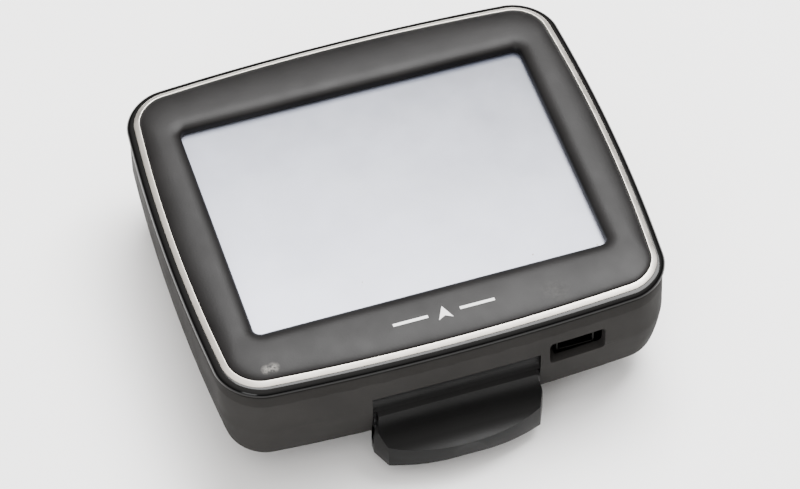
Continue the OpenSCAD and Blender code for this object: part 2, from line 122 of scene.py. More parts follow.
@dataclass
class Shader:
    """A new material with its Principled node, and the patterns that finishes share.

    Attributes:
        name: Name of the material.
        values: Constant values set on the Principled node's own sockets.
    """

    name: str
    values: dict[str, Any]
    material: bpy.types.Material = field(init=False)
    tree: bpy.types.NodeTree = field(init=False)
    bsdf: bpy.types.Node = field(init=False)
    place: Socket = field(init=False)

    def __post_init__(self) -> None:
        """Makes the node tree."""
        self.material = bpy.data.materials.new(self.name)
        self.material.use_nodes = True
        self.tree = self.material.node_tree
        self.bsdf = self.tree.nodes["Principled BSDF"]
        for key, value in self.values.items():
            self.bsdf.inputs[key].default_value = value
        self.place = add_node(self.tree, "ShaderNodeTexCoord").outputs["Object"]

    def noise(self, size_mm: float, detail: float = 2.0, roughness: float = 0.5) -> Socket:
        """Soft noise with features of a real size.

        Args:
            size_mm: Rough size of the features in millimetres.
            detail: Number of finer layers.
            roughness: Share of the finer layers.

        Returns:
            Noise from 0 to 1.
        """
        node = add_node(self.tree, "ShaderNodeTexNoise",
                        {"Vector": self.place, "Scale": per_metre(size_mm), "Detail": detail,
                         "Roughness": roughness})
        return node.outputs["Fac"]

    def spread(self, value: Socket, low: float, high: float, out_low: float, out_high: float) -> Socket:
        """Stretches a value from one range to another, held at the ends.

        Args:
            value: Value to stretch.
            low: Start of its range.
            high: End of its range.
            out_low: What low becomes.
            out_high: What high becomes.

        Returns:
            The stretched value.
        """
        node = add_node(self.tree, "ShaderNodeMapRange",
                        {"Value": value, "From Min": low, "From Max": high, "To Min": out_low,
                         "To Max": out_high})
        return node.outputs["Result"]

    def combine(self, operation: str, first: Any, second: Any) -> Socket:
        """One maths step on two values.

        Args:
            operation: Name of the maths operation.
            first: Number or socket.
            second: Number or socket.

        Returns:
            The result.
        """
        return add_node(self.tree, "ShaderNodeMath", {0: first, 1: second}, operation=operation).outputs[0]

    def tint(self, factor: Socket, low_hex: str, high_hex: str) -> Socket:
        """Mixes two colours.

        Args:
            factor: Share of the second colour.
            low_hex: First colour.
            high_hex: Second colour.

        Returns:
            The mixed colour.
        """
        node = add_node(self.tree, "ShaderNodeMix",
                        {MIX_FACTOR: factor, MIX_A: linear(low_hex), MIX_B: linear(high_hex)},
                        data_type="RGBA")
        return node.outputs[MIX_RESULT]

    def overlay(self, factor: Socket, under: Socket, over_hex: str) -> Socket:
        """Lays a plain colour over a colour pattern.

        Args:
            factor: Share of the plain colour.
            under: Colour pattern below.
            over_hex: Plain colour.

        Returns:
            The mixed colour.
        """
        node = add_node(self.tree, "ShaderNodeMix",
                        {MIX_FACTOR: factor, MIX_A: under, MIX_B: linear(over_hex)}, data_type="RGBA")
        return node.outputs[MIX_RESULT]

    def feed(self, name: str, value: Socket) -> None:
        """Links a value to the Principled node.

        Args:
            name: Name of the input.
            value: Socket that feeds it.
        """
        self.tree.links.new(value, self.bsdf.inputs[name])

    def emboss(self, height: Socket, depth_mm: float) -> None:
        """Feeds a height to the normal.

        Args:
            height: Height pattern.
            depth_mm: How far a height of 1 stands above 0, in millimetres.
        """
        bump = add_node(self.tree, "ShaderNodeBump", {"Height": height, "Distance": depth_mm * MM})
        self.feed("Normal", bump.outputs["Normal"])


# ---- Finishes ------------------------------------------------------------------------

# Sizes in millimetres of the slow drift of colour and of gloss on a moulded piece.
COLOUR_DRIFT_MM, GLOSS_DRIFT_MM = 14, 6
# Colours of rubbed plastic and of settled dust.
RUBBED, DUST = "#8c8984", "#8f8a86"


class Finish(Protocol):
    """Anything that can build a material."""

    def material(self) -> bpy.types.Material:
        """Builds the material."""


@dataclass(frozen=True)
class Scuff:
    """A rubbed patch on a finish.

    Attributes:
        centre: Middle of the patch in millimetres.
        radius: Reach of the patch in millimetres.
        strength: How pale it goes in the middle, up to 1.
    """

    centre: tuple[float, float, float]
    radius: float
    strength: float


@dataclass(frozen=True)
class MouldedPlastic:
    """Injection-moulded ABS or acetal, with the fine grain of a spark-eroded mould.

    Attributes:
        name: Name of the material.
        colour: Main colour.
        worn: Colour of the slightly paler patches.
        roughness: Mean roughness.
        grain_mm: Size of the mould grain, coarser than the real 0.1 mm so that it shows.
        depth_mm: Height of the grain.
        coat: Weight of a clear gloss over it.
        scuffs: Rubbed patches.
        specular: Strength of the surface reflection. Real plastic has 0.5. It is set lower here, so that
            dark pieces stay dark in the white tent.
    """

    name: str
    colour: str
    worn: str
    roughness: float
    grain_mm: float = 0.25
    depth_mm: float = 0.006
    coat: float = 0.0
    scuffs: tuple[Scuff, ...] = ()
    specular: float = 0.2

    def material(self) -> bpy.types.Material:
        """Builds the material: grain in the normal, cloudy gloss and slow drift of colour."""
        shader = Shader(self.name, {"IOR": 1.5, "Coat Weight": self.coat, "Coat Roughness": 0.04,
                                    "Specular IOR Level": self.specular})
        cloud = shader.noise(COLOUR_DRIFT_MM, 3)
        fine = shader.noise(self.grain_mm, 3, 0.6)
        patch = shader.spread(cloud, 0.35, 0.7, 0, 1)
        colour = shader.tint(patch, self.colour, self.worn)
        for scuff in self.scuffs:
            colour = shader.overlay(self.rub(shader, scuff), colour, RUBBED)
        shader.feed("Base Color", colour)
        cloudy = shader.spread(shader.noise(GLOSS_DRIFT_MM, 4), 0.3, 0.7, self.roughness * 0.9,
                               self.roughness * 1.1)
        shader.feed("Roughness", cloudy)
        shader.emboss(fine, self.depth_mm)
        return shader.material

    def rub(self, shader: Shader, scuff: Scuff) -> Socket:
        """Pale, broken patch of wear about a point.

        Args:
            shader: Shader that takes it.
            scuff: Place, size and strength of the wear.

        Returns:
            Share of the pale colour.
        """
        away = add_node(shader.tree, "ShaderNodeVectorMath",
                        {0: shader.place, 1: Vector(scuff.centre) * MM}, operation="DISTANCE")
        near = shader.spread(away.outputs["Value"], 0.2 * scuff.radius * MM, scuff.radius * MM,
                             scuff.strength, 0)
        broken = shader.spread(shader.noise(0.9, 4, 0.7), 0.4, 0.62, 0, 1)
        return shader.combine("MULTIPLY", near, broken)


@dataclass(frozen=True)
class Metal:
    """Plated, ground or stamped metal with the default IOR.

    Attributes:
        name: Name of the material.
        colour: Colour of the metal.
        roughness: Mean roughness.
        line_mm: Spacing of the rolling or grinding lines.
        depth_mm: Depth of the lines.
    """

    name: str
    colour: str
    roughness: float
    line_mm: float = 0.2
    depth_mm: float = 0.002

    def material(self) -> bpy.types.Material:
        """Builds the material: lines stretched along X and a drifting roughness."""
        shader = Shader(self.name, {"Metallic": 1.0, "Base Color": linear(self.colour)})
        stretched = add_node(shader.tree, "ShaderNodeMapping",
                             {"Vector": shader.place, "Scale": (0.06, 1.0, 1.0)}).outputs["Vector"]
        lines = add_node(shader.tree, "ShaderNodeTexNoise",
                         {"Vector": stretched, "Scale": per_metre(self.line_mm), "Detail": 3.0})
        shader.feed("Roughness", shader.spread(shader.noise(3, 3), 0.3, 0.7, self.roughness * 0.85,
                                               self.roughness * 1.15))
        shader.emboss(lines.outputs["Fac"], self.depth_mm)
        return shader.material


@dataclass(frozen=True)
class SoftRubber:
    """Rubber, foam or adhesive: dull, with pores of a real size.

    Attributes:
        name: Name of the material.
        colour: Main colour.
        pale: Colour of its bloom.
        roughness: Mean roughness.
        pore_mm: Size of the pores.
        depth_mm: Depth of the pores.
        sheen: Weight of the dusty sheen.
    """

    name: str
    colour: str
    pale: str
    roughness: float
    pore_mm: float
    depth_mm: float
    sheen: float = 0.1

    def material(self) -> bpy.types.Material:
        """Builds the material: cells in the normal and a faint bloom."""
        shader = Shader(self.name, {"IOR": 1.52, "Sheen Weight": self.sheen, "Roughness": self.roughness})
        cells = add_node(shader.tree, "ShaderNodeTexVoronoi",
                         {"Vector": shader.place, "Scale": per_metre(self.pore_mm)})
        bloom = shader.spread(shader.noise(5, 4), 0.35, 0.7, 0, 1)
        shader.feed("Base Color", shader.tint(bloom, self.colour, self.pale))
        shader.emboss(cells.outputs["Distance"], self.depth_mm)
        return shader.material


@dataclass(frozen=True)
class TouchFilm:
    """Matt hard-coated film of a resistive touch panel over an unlit display, with painted light and shade
    laid across it.

    Attributes:
        name: Name of the material.
        low: Colour towards the lower left, painted light where the film looks palest.
        high: Colour towards the upper right, painted shade.
        span: Distance in millimetres over which the colour goes from its middle to an end.
        lean: Direction in which the painted shade deepens across the film.
    """

    name: str
    low: str
    high: str
    span: float
    lean: tuple[float, float, float] = (0.35, 0.94, 0.0)

    def material(self) -> bpy.types.Material:
        """Builds the material: a painted ramp of light and shade across the film, sparkle of its coat, and
        specks of dust.
        """
        shader = Shader(self.name, {"IOR": 1.49, "Coat Weight": 0.25, "Coat Roughness": 0.2})
        along = add_node(shader.tree, "ShaderNodeVectorMath",
                         {0: shader.place, 1: self.lean}, operation="DOT_PRODUCT")
        # Painted light and shade: the colour runs from the pale low colour to the dark high colour along the
        # lean.
        painted_light_ramp = shader.spread(along.outputs["Value"], -self.span * MM, self.span * MM, 0, 1)
        cloudy = shader.combine("ADD", painted_light_ramp, shader.spread(shader.noise(11, 3), 0.3, 0.7, -0.05, 0.05))
        film = shader.tint(cloudy, self.low, self.high)
        specks = add_node(shader.tree, "ShaderNodeTexVoronoi",
                          {"Vector": shader.place, "Scale": per_metre(4.5)}).outputs["Distance"]
        seen = shader.spread(shader.noise(9, 2), 0.56, 0.6, 0, 0.05)
        dust = shader.combine("LESS_THAN", specks, seen)
        shader.feed("Base Color", shader.overlay(dust, film, DUST))
        shader.feed("Roughness", shader.spread(shader.noise(7, 4), 0.3, 0.7, 0.34, 0.42))
        shader.emboss(shader.noise(0.12, 2), 0.0015)
        return shader.material


@dataclass(frozen=True)
class BoardMask:
    """Solder mask over copper on a glass-fibre board, with pale pads and traces.

    Attributes:
        name: Name of the material.
        mask: Colour of the solder mask.
        trace: Colour of the mask over copper.
        pad: Colour of the bare pads.
    """

    name: str
    mask: str
    trace: str
    pad: str

    def material(self) -> bpy.types.Material:
        """Builds the material: a brick pattern for traces and small cells for pads."""
        shader = Shader(self.name, {"IOR": 1.55, "Roughness": 0.32, "Coat Weight": 0.3})
        traces = add_node(shader.tree, "ShaderNodeTexBrick",
                          {"Vector": shader.place, "Scale": per_metre(2.6), "Color1": linear(self.mask),
                           "Color2": linear(self.trace), "Mortar": linear(self.trace),
                           "Mortar Size": 0.03})
        cells = add_node(shader.tree, "ShaderNodeTexVoronoi",
                         {"Vector": shader.place, "Scale": per_metre(1.8)}).outputs["Distance"]
        pads = shader.combine("LESS_THAN", cells, 0.16)
        shader.feed("Base Color", shader.overlay(pads, traces.outputs["Color"], self.pad))
        shader.emboss(cells, 0.02)
        return shader.material


# Charcoal lacquer on ABS: satin and cloudy, with a rubbed corner that shows pale.
BEZEL_LACQUER = MouldedPlastic("satin_charcoal_lacquer", "#121111", "#1a1919", 0.38, 0.4, 0.014,
                               scuffs=(Scuff((-36.0, -35.4, 30.1), 1.2, 0.6),
                                       Scuff((-34.5, -35.3, 30.1), 1.3, 0.7),
                                       Scuff((22.0, -35.0, 30.0), 3.5, 0.05)), specular=0.14)
# Satin nickel plating on ABS: bright and even, with blurred reflections.
TRIM_PLATING = Metal("satin_nickel_plating", "#d5d0c8", 0.38, 0.15, 0.001)
# Polished black ABS: near-black with a sharp reflection along its curve.
RIM_GLOSS = MouldedPlastic("polished_black_abs", "#030303", "#050505", 0.12, 0.8, 0.001, specular=0.2)
# Dark grey ABS from a textured mould: dull and even, with next to no reflection.
SHELL_ABS = MouldedPlastic("textured_dark_grey_abs", "#2c2b2a", "#31302f", 0.6, 0.28, 0.012, specular=0.02)
# The same texture on a darker moulding: a dull dark band under the rim.
FRAME_ABS = MouldedPlastic("textured_black_abs", "#282726", "#2c2b2a", 0.6, 0.28, 0.01, specular=0.01)
# Satin black nylon of the arm: black, with a soft streak of light in its hollow.
ARM_ABS = MouldedPlastic("satin_black_nylon", "#050505", "#080808", 0.36, 0.22, 0.004, specular=0.12)
# Painted shade inside the finger scoop and the hinge socket: black and duller than the arm, so the hollow
# reads as deep.
BAY_PAINTED_SHADE = MouldedPlastic("satin_black_bay_painted_shade", "#080808", "#0c0c0c", 0.5, 0.25, 0.006, specular=0.15)
# Satin black ABS of the dial: black, with soft lights along its grips.
DIAL_ABS = MouldedPlastic("satin_black_abs", "#0b0b0c", "#101011", 0.4, 0.25, 0.006)
# Satin slate ABS of the dial's cap and the key: a shade paler, so each stands out from its neighbour.
CAP_ABS = MouldedPlastic("satin_slate_abs", "#17181a", "#1c1d1f", 0.34, 0.25, 0.004)
# Pad-printed ink on the lacquer: pale, flat and even.
MARK_INK = MouldedPlastic("pale_pad_printed_ink", "#e8e8e8", "#dcdcda", 0.5, 0.2, 0.002)
# Soft vinyl rubber of the cup: smoky grey, wet-looking, with a faint bloom of dust.
CUP_RUBBER = SoftRubber("smoked_soft_rubber", "#2f3033", "#3b3c40", 0.28, 0.6, 0.004, 0.2)
# Cell foam: black, dull and visibly porous.
FOAM = SoftRubber("black_cell_foam", "#101011", "#19191a", 0.9, 0.25, 0.05)
# Matt touch film: pale grey-blue, with painted light towards the lower left and painted shade towards the
# upper right, and blurred reflections.
PANEL_FILM = TouchFilm("matt_touch_film_painted_shade", "#d2d6e6", "#4f5360", 38)


# ---- Meshes --------------------------------------------------------------------------


def bend(start: np.ndarray, corner: np.ndarray, end: np.ndarray, steps: int) -> list[np.ndarray]:
    """Rounds one corner with a quadratic curve.

    Args:
        start: Where the curve leaves the first side.
        corner: The corner itself.
        end: Where the curve joins the second side.
        steps: Points in the curve, less one.

    Returns:
        The points of the curve.
    """
    t = np.linspace(0, 1, steps + 1)[:, None]
    return list((1 - t) ** 2 * start + 2 * t * (1 - t) * corner + t * t * end)


def soften(points: Sequence[Point], share: float = 0.35, steps: int = 4, closed: bool = True) -> np.ndarray:
    """Rounds the corners of a polyline with short quadratic curves.

    Args:
        points: Corners, each with any number of coordinates.
        share: How far along each edge a curve starts, at most half.
        steps: Points in each curve, less one.
        closed: Whether the last point joins the first.

    Returns:
        The points of the rounded line.
    """
    knees = [np.array(p, float) for p in points]
    count = len(knees)
    line = []
    for i, here in enumerate(knees):
        if not closed and i in (0, count - 1):
            line.append(here)
            continue
        before, after = knees[i - 1], knees[(i + 1) % count]
        line += bend(here + (before - here) * share, here, here + (after - here) * share, steps)
    return np.array(line)


def chamfer(points: Sequence[Point], size: float, steps: int = 3) -> np.ndarray:
    """Rounds the corners of a closed polyline, each curve starting size from its corner.

    Args:
        points: Corners of the line.
        size: Distance from a corner at which its curve starts.
        steps: Points in each curve, less one.

    Returns:
        The points of the rounded line.
    """
    knees = [np.array(p, float) for p in points]
    line = []
    for i, here in enumerate(knees):
        before, after = knees[i - 1] - here, knees[(i + 1) % len(knees)] - here
        reach_before, reach_after = np.linalg.norm(before), np.linalg.norm(after)
        start = here + before / reach_before * min(size, reach_before * 0.45)
        end = here + after / reach_after * min(size, reach_after * 0.45)
        line += bend(start, here, end, steps)
    return np.array(line)


@dataclass(frozen=True)
class Outline:
    """A rounded rectangle whose sides bulge out between its corners, in millimetres.

    Attributes:
        half_w: Half width.
        half_h: Half height.
        radius: Corner radius.
        bow: Bulge of each side.
        centre_y: Height of its centre along Y.
    """

    half_w: float
    half_h: float
    radius: float
    bow: float
    centre_y: float = 0.0

    # Steps in each corner's arc, and points along each side between two corners.
    ARC = 14
    SIDE = 22

    def ring(self) -> np.ndarray:
        """Points of the outline, anticlockwise, as an array of X and Y."""
        points = []
        for k in range(4):
            sx, sy = (1 if k in (0, 3) else -1), (1 if k < 2 else -1)
            centre = np.array([sx * (self.half_w - self.radius), sy * (self.half_h - self.radius)])
            angles = np.radians(90 * (k + np.arange(self.ARC + 1) / self.ARC))
            arc = centre + self.radius * np.stack([np.cos(angles), np.sin(angles)], 1)
            last = arc[-1]
            following = last * ([-1, 1] if k % 2 == 0 else [1, -1])
            steps = (np.arange(1, self.SIDE + 1) / (self.SIDE + 1))[:, None]
            points += [arc, last + (following - last) * steps]
        flat = np.vstack(points)
        x = flat[:, 0] * (1 - self.bow / self.half_w * (flat[:, 1] / self.half_h) ** 2)
        y = flat[:, 1] * (1 - self.bow / self.half_h * (flat[:, 0] / self.half_w) ** 2)
        return np.stack([x, y + self.centre_y], 1)

    def inset(self, distance: float) -> "Outline":
        """Moves the outline in.

        Args:
            distance: How far each side moves.

        Returns:
            The smaller outline.
        """
        return Outline(self.half_w - distance, self.half_h - distance, max(self.radius - distance, 0.6),
                       self.bow, self.centre_y)

    def towards(self, other: "Outline", share: float) -> "Outline":
        """Goes part of the way to another outline.

        Args:
            other: Outline to go to.
            share: How much of the way.

        Returns:
            The outline between the two.
        """
        return Outline(*[mine + (its - mine) * share for mine, its in zip(
            (self.half_w, self.half_h, self.radius, self.bow, self.centre_y),
            (other.half_w, other.half_h, other.radius, other.bow, other.centre_y))])


def make_object(name: str, points: np.ndarray, faces: Iterable[Sequence[int]]) -> bpy.types.Object:
    """Makes a mesh object from points in millimetres.

    Args:
        name: Name of the object.
        points: Array of X, Y and Z in millimetres.
        faces: Point numbers of each face.

    Returns:
        The new object, linked to the scene.
    """
    mesh = bpy.data.meshes.new(name)
    mesh.from_pydata((np.asarray(points, float) * MM).tolist(), [], [list(f) for f in faces])
    work = bmesh.new()
    work.from_mesh(mesh)
    bmesh.ops.recalc_face_normals(work, faces=work.faces)
    work.to_mesh(mesh)
    work.free()
    obj = bpy.data.objects.new(name, mesh)
    bpy.context.scene.collection.objects.link(obj)
    return smooth(obj)


def smooth(obj: bpy.types.Object, sharp_deg: float = 38.0) -> bpy.types.Object:
    """Shades an object smooth.

    Args:
        obj: Object to shade.
        sharp_deg: Edges that turn by more than this stay sharp.

    Returns:
        The same object.
    """
    obj.data.shade_smooth()
    obj.data.set_sharp_from_angle(angle=math.radians(sharp_deg))
    return obj


def bands(count: int, rings: int, closed: bool) -> list[tuple[int, int, int, int]]:
    """Quads between rings of equal point counts.

    Args:
        count: Points in each ring.
        rings: Number of rings.
        closed: Whether the last ring joins the first.

    Returns:
        Point numbers of each quad.
    """
    faces = []
    for i in range(rings if closed else rings - 1):
        low, high = i * count, ((i + 1) % rings) * count
        for k in range(count):
            n = (k + 1) % count
            faces.append((low + k, low + n, high + n, high + k))
    return faces


def stacked(rings: Sequence[np.ndarray], levels: Sequence[float]) -> np.ndarray:
    """Sets flat rings at their own levels.

    Args:
        rings: Rings of X and Y.
        levels: Level of each ring.

    Returns:
        All points as X, Y and Z.
    """
    return np.vstack([np.column_stack([r, np.full(len(r), z)]) for r, z in zip(rings, levels)])


def frame_loft(name: str, rings: Sequence[np.ndarray], levels: Sequence[float]) -> bpy.types.Object:
    """A closed frame whose section runs through a list of rings.

    Args:
        name: Name of the object.
        rings: Rings of X and Y, round the section and back to the first.
        levels: Level of each ring.

    Returns:
        The new object.
    """
    return make_object(name, stacked(rings, levels), bands(len(rings[0]), len(rings), True))


def solid_loft(name: str, rings: Sequence[np.ndarray], levels: Sequence[float]) -> bpy.types.Object:
    """A solid through a list of rings, closed by a flat face at each end.

    Args:
        name: Name of the object.
        rings: Rings of X and Y from one end to the other.
        levels: Level of each ring.

    Returns:
        The new object.
    """
    count, last = len(rings[0]), (len(rings) - 1) * len(rings[0])
    faces: list[Sequence[int]] = list(bands(count, len(rings), False))
    faces.append(list(range(count))[::-1])
    faces.append(list(range(last, last + count)))
    return make_object(name, stacked(rings, levels), faces)


def standing_loft(name: str, rings: Sequence[np.ndarray], places: Sequence[float],
                  centre: Point) -> bpy.types.Object:
    """A solid through upright rings that stand one behind the other along Y.

    Args:
        name: Name of the object.
        rings: Rings of X and Z about the centre.
        places: Place of each ring along Y.
        centre: X and Z of the centre.

    Returns:
        The new object.
    """
    x, z = centre
    points = np.vstack([np.column_stack([r[:, 0] + x, np.full(len(r), y), r[:, 1] + z])
                        for r, y in zip(rings, places)])
    count, last = len(rings[0]), (len(rings) - 1) * len(rings[0])
    faces: list[Sequence[int]] = list(bands(count, len(rings), False))
    faces += [list(range(count)), list(range(last, last + count))[::-1]]
    return make_object(name, points, faces)


class Axis(Enum):
    """Direction in which a flat outline is made solid."""

    X = "x"
    Y = "y"
    Z = "z"


def extruded(name: str, outline: Sequence[Point], low: float, high: float, axis: Axis) -> bpy.types.Object:
    """A flat outline made solid along an axis.

    Args:
        name: Name of the object.
        outline: Points in the plane across the axis, in X, Y, Z order.
        low: Start along the axis.
        high: End along the axis.
        axis: Direction of the extrusion.

    Returns:
        The new object.
    """
    flat = np.array(outline, float)
    count = len(flat)
    places = []
    for level in (low, high):
        column = np.full(count, level)
        if axis is Axis.X:
            places.append(np.column_stack([column, flat]))
        elif axis is Axis.Y:
            places.append(np.column_stack([flat[:, 0], column, flat[:, 1]]))
        else:
            places.append(np.column_stack([flat, column]))
    faces: list[Sequence[int]] = list(bands(count, 2, False))
    faces += [list(range(count))[::-1], list(range(count, 2 * count))]
    return make_object(name, np.vstack(places), faces)


def turned(name: str, profile: Sequence[Point], centre: Point = (0, 0), steps: int = 96) -> bpy.types.Object:
    """A closed profile of radius and height turned about an upright axis.

    Args:
        name: Name of the object.
        profile: Closed profile, each point a radius and a height.
        centre: X and Y of the axis.
        steps: Segments round the axis.

    Returns:
        The new object.
    """
    points, faces, count = [], [], len(profile)
    for s in range(steps):
        angle = 2 * math.pi * s / steps
        cos, sin = math.cos(angle), math.sin(angle)
        points += [(centre[0] + r * cos, centre[1] + r * sin, z) for r, z in profile]
    for s in range(steps):
        here, there = s * count, ((s + 1) % steps) * count
        for k in range(count):
            n = (k + 1) % count
            faces.append((here + k, there + k, there + n, here + n))
    obj = make_object(name, np.array(points), faces)
    work = bmesh.new()
    work.from_mesh(obj.data)
    bmesh.ops.remove_doubles(work, verts=work.verts, dist=1e-7)
    bmesh.ops.dissolve_degenerate(work, edges=work.edges, dist=1e-7)
    bmesh.ops.recalc_face_normals(work, faces=work.faces)
    work.to_mesh(obj.data)
    work.free()
    return smooth(obj)


def arc(centre: Point, radius: float, start: float, end: float, steps: int = 16) -> list[tuple[float, float]]:
    """Points of an arc.

    Args:
        centre: Centre of the arc.
        radius: Its radius.
        start: Angle at which it starts, in degrees.
        end: Angle at which it ends, in degrees.
        steps: Points in the arc, less one.

    Returns:
        The points in order.
    """
    angles = [math.radians(start + (end - start) * k / steps) for k in range(steps + 1)]
    return [(centre[0] + radius * math.cos(a), centre[1] + radius * math.sin(a)) for a in angles]


def circle(centre: Point, radius: float, steps: int = 64) -> list[tuple[float, float]]:
    """Points of a whole circle.

    Args:
        centre: Centre of the circle.
        radius: Its radius.
        steps: Number of points.

    Returns:
        The points, with the first one not repeated.
    """
    return arc(centre, radius, 0, 360, steps)[:-1]


class Carve(Enum):
    """What a carving tool does to its target."""

    CUT = "DIFFERENCE"
    JOIN = "UNION"
    TRIM = "INTERSECT"


def settle(obj: bpy.types.Object) -> bpy.types.Object:
    """Turns an object's modifiers into plain mesh.

    Args:
        obj: Object with modifiers.

    Returns:
        The same object.
    """
    bpy.context.view_layer.update()
    shaped = obj.evaluated_get(bpy.context.evaluated_depsgraph_get())
    mesh = bpy.data.meshes.new_from_object(shaped)
    obj.modifiers.clear()
    obj.data = mesh
    return obj


def carve(target: bpy.types.Object, tools: Iterable[bpy.types.Object],
          kind: Carve = Carve.CUT) -> bpy.types.Object:
    """Cuts, joins or trims an object with others, which are used up.

    Args:
        target: Object to change.
        tools: Objects to cut or join with.
        kind: What the tools do.

    Returns:
        The changed object.
    """
    for tool in tools:
        modifier = target.modifiers.new("carve", "BOOLEAN")
        modifier.operation = kind.value
        modifier.solver = "EXACT"
        modifier.object = tool
        settle(target)
        bpy.data.objects.remove(tool)
    return target


def round_edges(obj: bpy.types.Object, width_mm: float, angle_deg: float = 40.0,
                segments: int = 2) -> bpy.types.Object:
    """Rounds the edges of an object that are sharper than an angle.

    Args:
        obj: Object to change.
        width_mm: Width of the rounding.
        angle_deg: Edges that turn by less than this are left.
        segments: Steps in the rounding.

    Returns:
        The changed object.
    """
    work = bmesh.new()
    work.from_mesh(obj.data)
    bmesh.ops.remove_doubles(work, verts=work.verts, dist=2e-6)
    bmesh.ops.dissolve_limit(work, angle_limit=math.radians(0.4), verts=work.verts, edges=work.edges)
    work.to_mesh(obj.data)
    work.free()
    modifier = obj.modifiers.new("edges", "BEVEL")
    modifier.width = width_mm * MM
    modifier.segments = segments
    modifier.limit_method = "ANGLE"
    modifier.angle_limit = math.radians(angle_deg)
    modifier.use_clamp_overlap = True
    settle(obj)
    return smooth(obj)


def dress(obj: bpy.types.Object, finish: Finish, body: str, slot: str, *nodes: str) -> bpy.types.Object:
    """Finishes a piece and ties it to the frame.

    Args:
        obj: Piece to finish.
        finish: Finish with a material method.
        body: Body that the piece rides on.
        slot: Material slot of the record; not used.
        nodes: CAD nodes that it stands for.

    Returns:
        The piece.
    """
    obj.data.materials.clear()
    obj.data.materials.append(finish.material())
    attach(obj, body)
    if nodes:
        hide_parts(*nodes)
    LOG.info("%s: %d faces on %s", obj.name, len(obj.data.polygons), body)
    return obj


def refinish(node: str, finish: Finish) -> None:
    """Gives a CAD node a finish and keeps its shape.

    Args:
        node: Name of the CAD node.
        finish: Finish to put on it.
    """
    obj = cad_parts[node]
    obj.data.materials.clear()
    obj.data.materials.append(finish.material())
    LOG.info("%s: CAD shape kept", node)


def corners(node: str) -> tuple[np.ndarray, np.ndarray]:
    """Measures the box of a CAD node.

    Args:
        node: Name of the CAD node.

    Returns:
        Its lowest and highest corner in millimetres.
    """
    low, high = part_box(node)
    return np.array(low) / MM, np.array(high) / MM


# ---- Front of the housing ------------------------------------------------------------


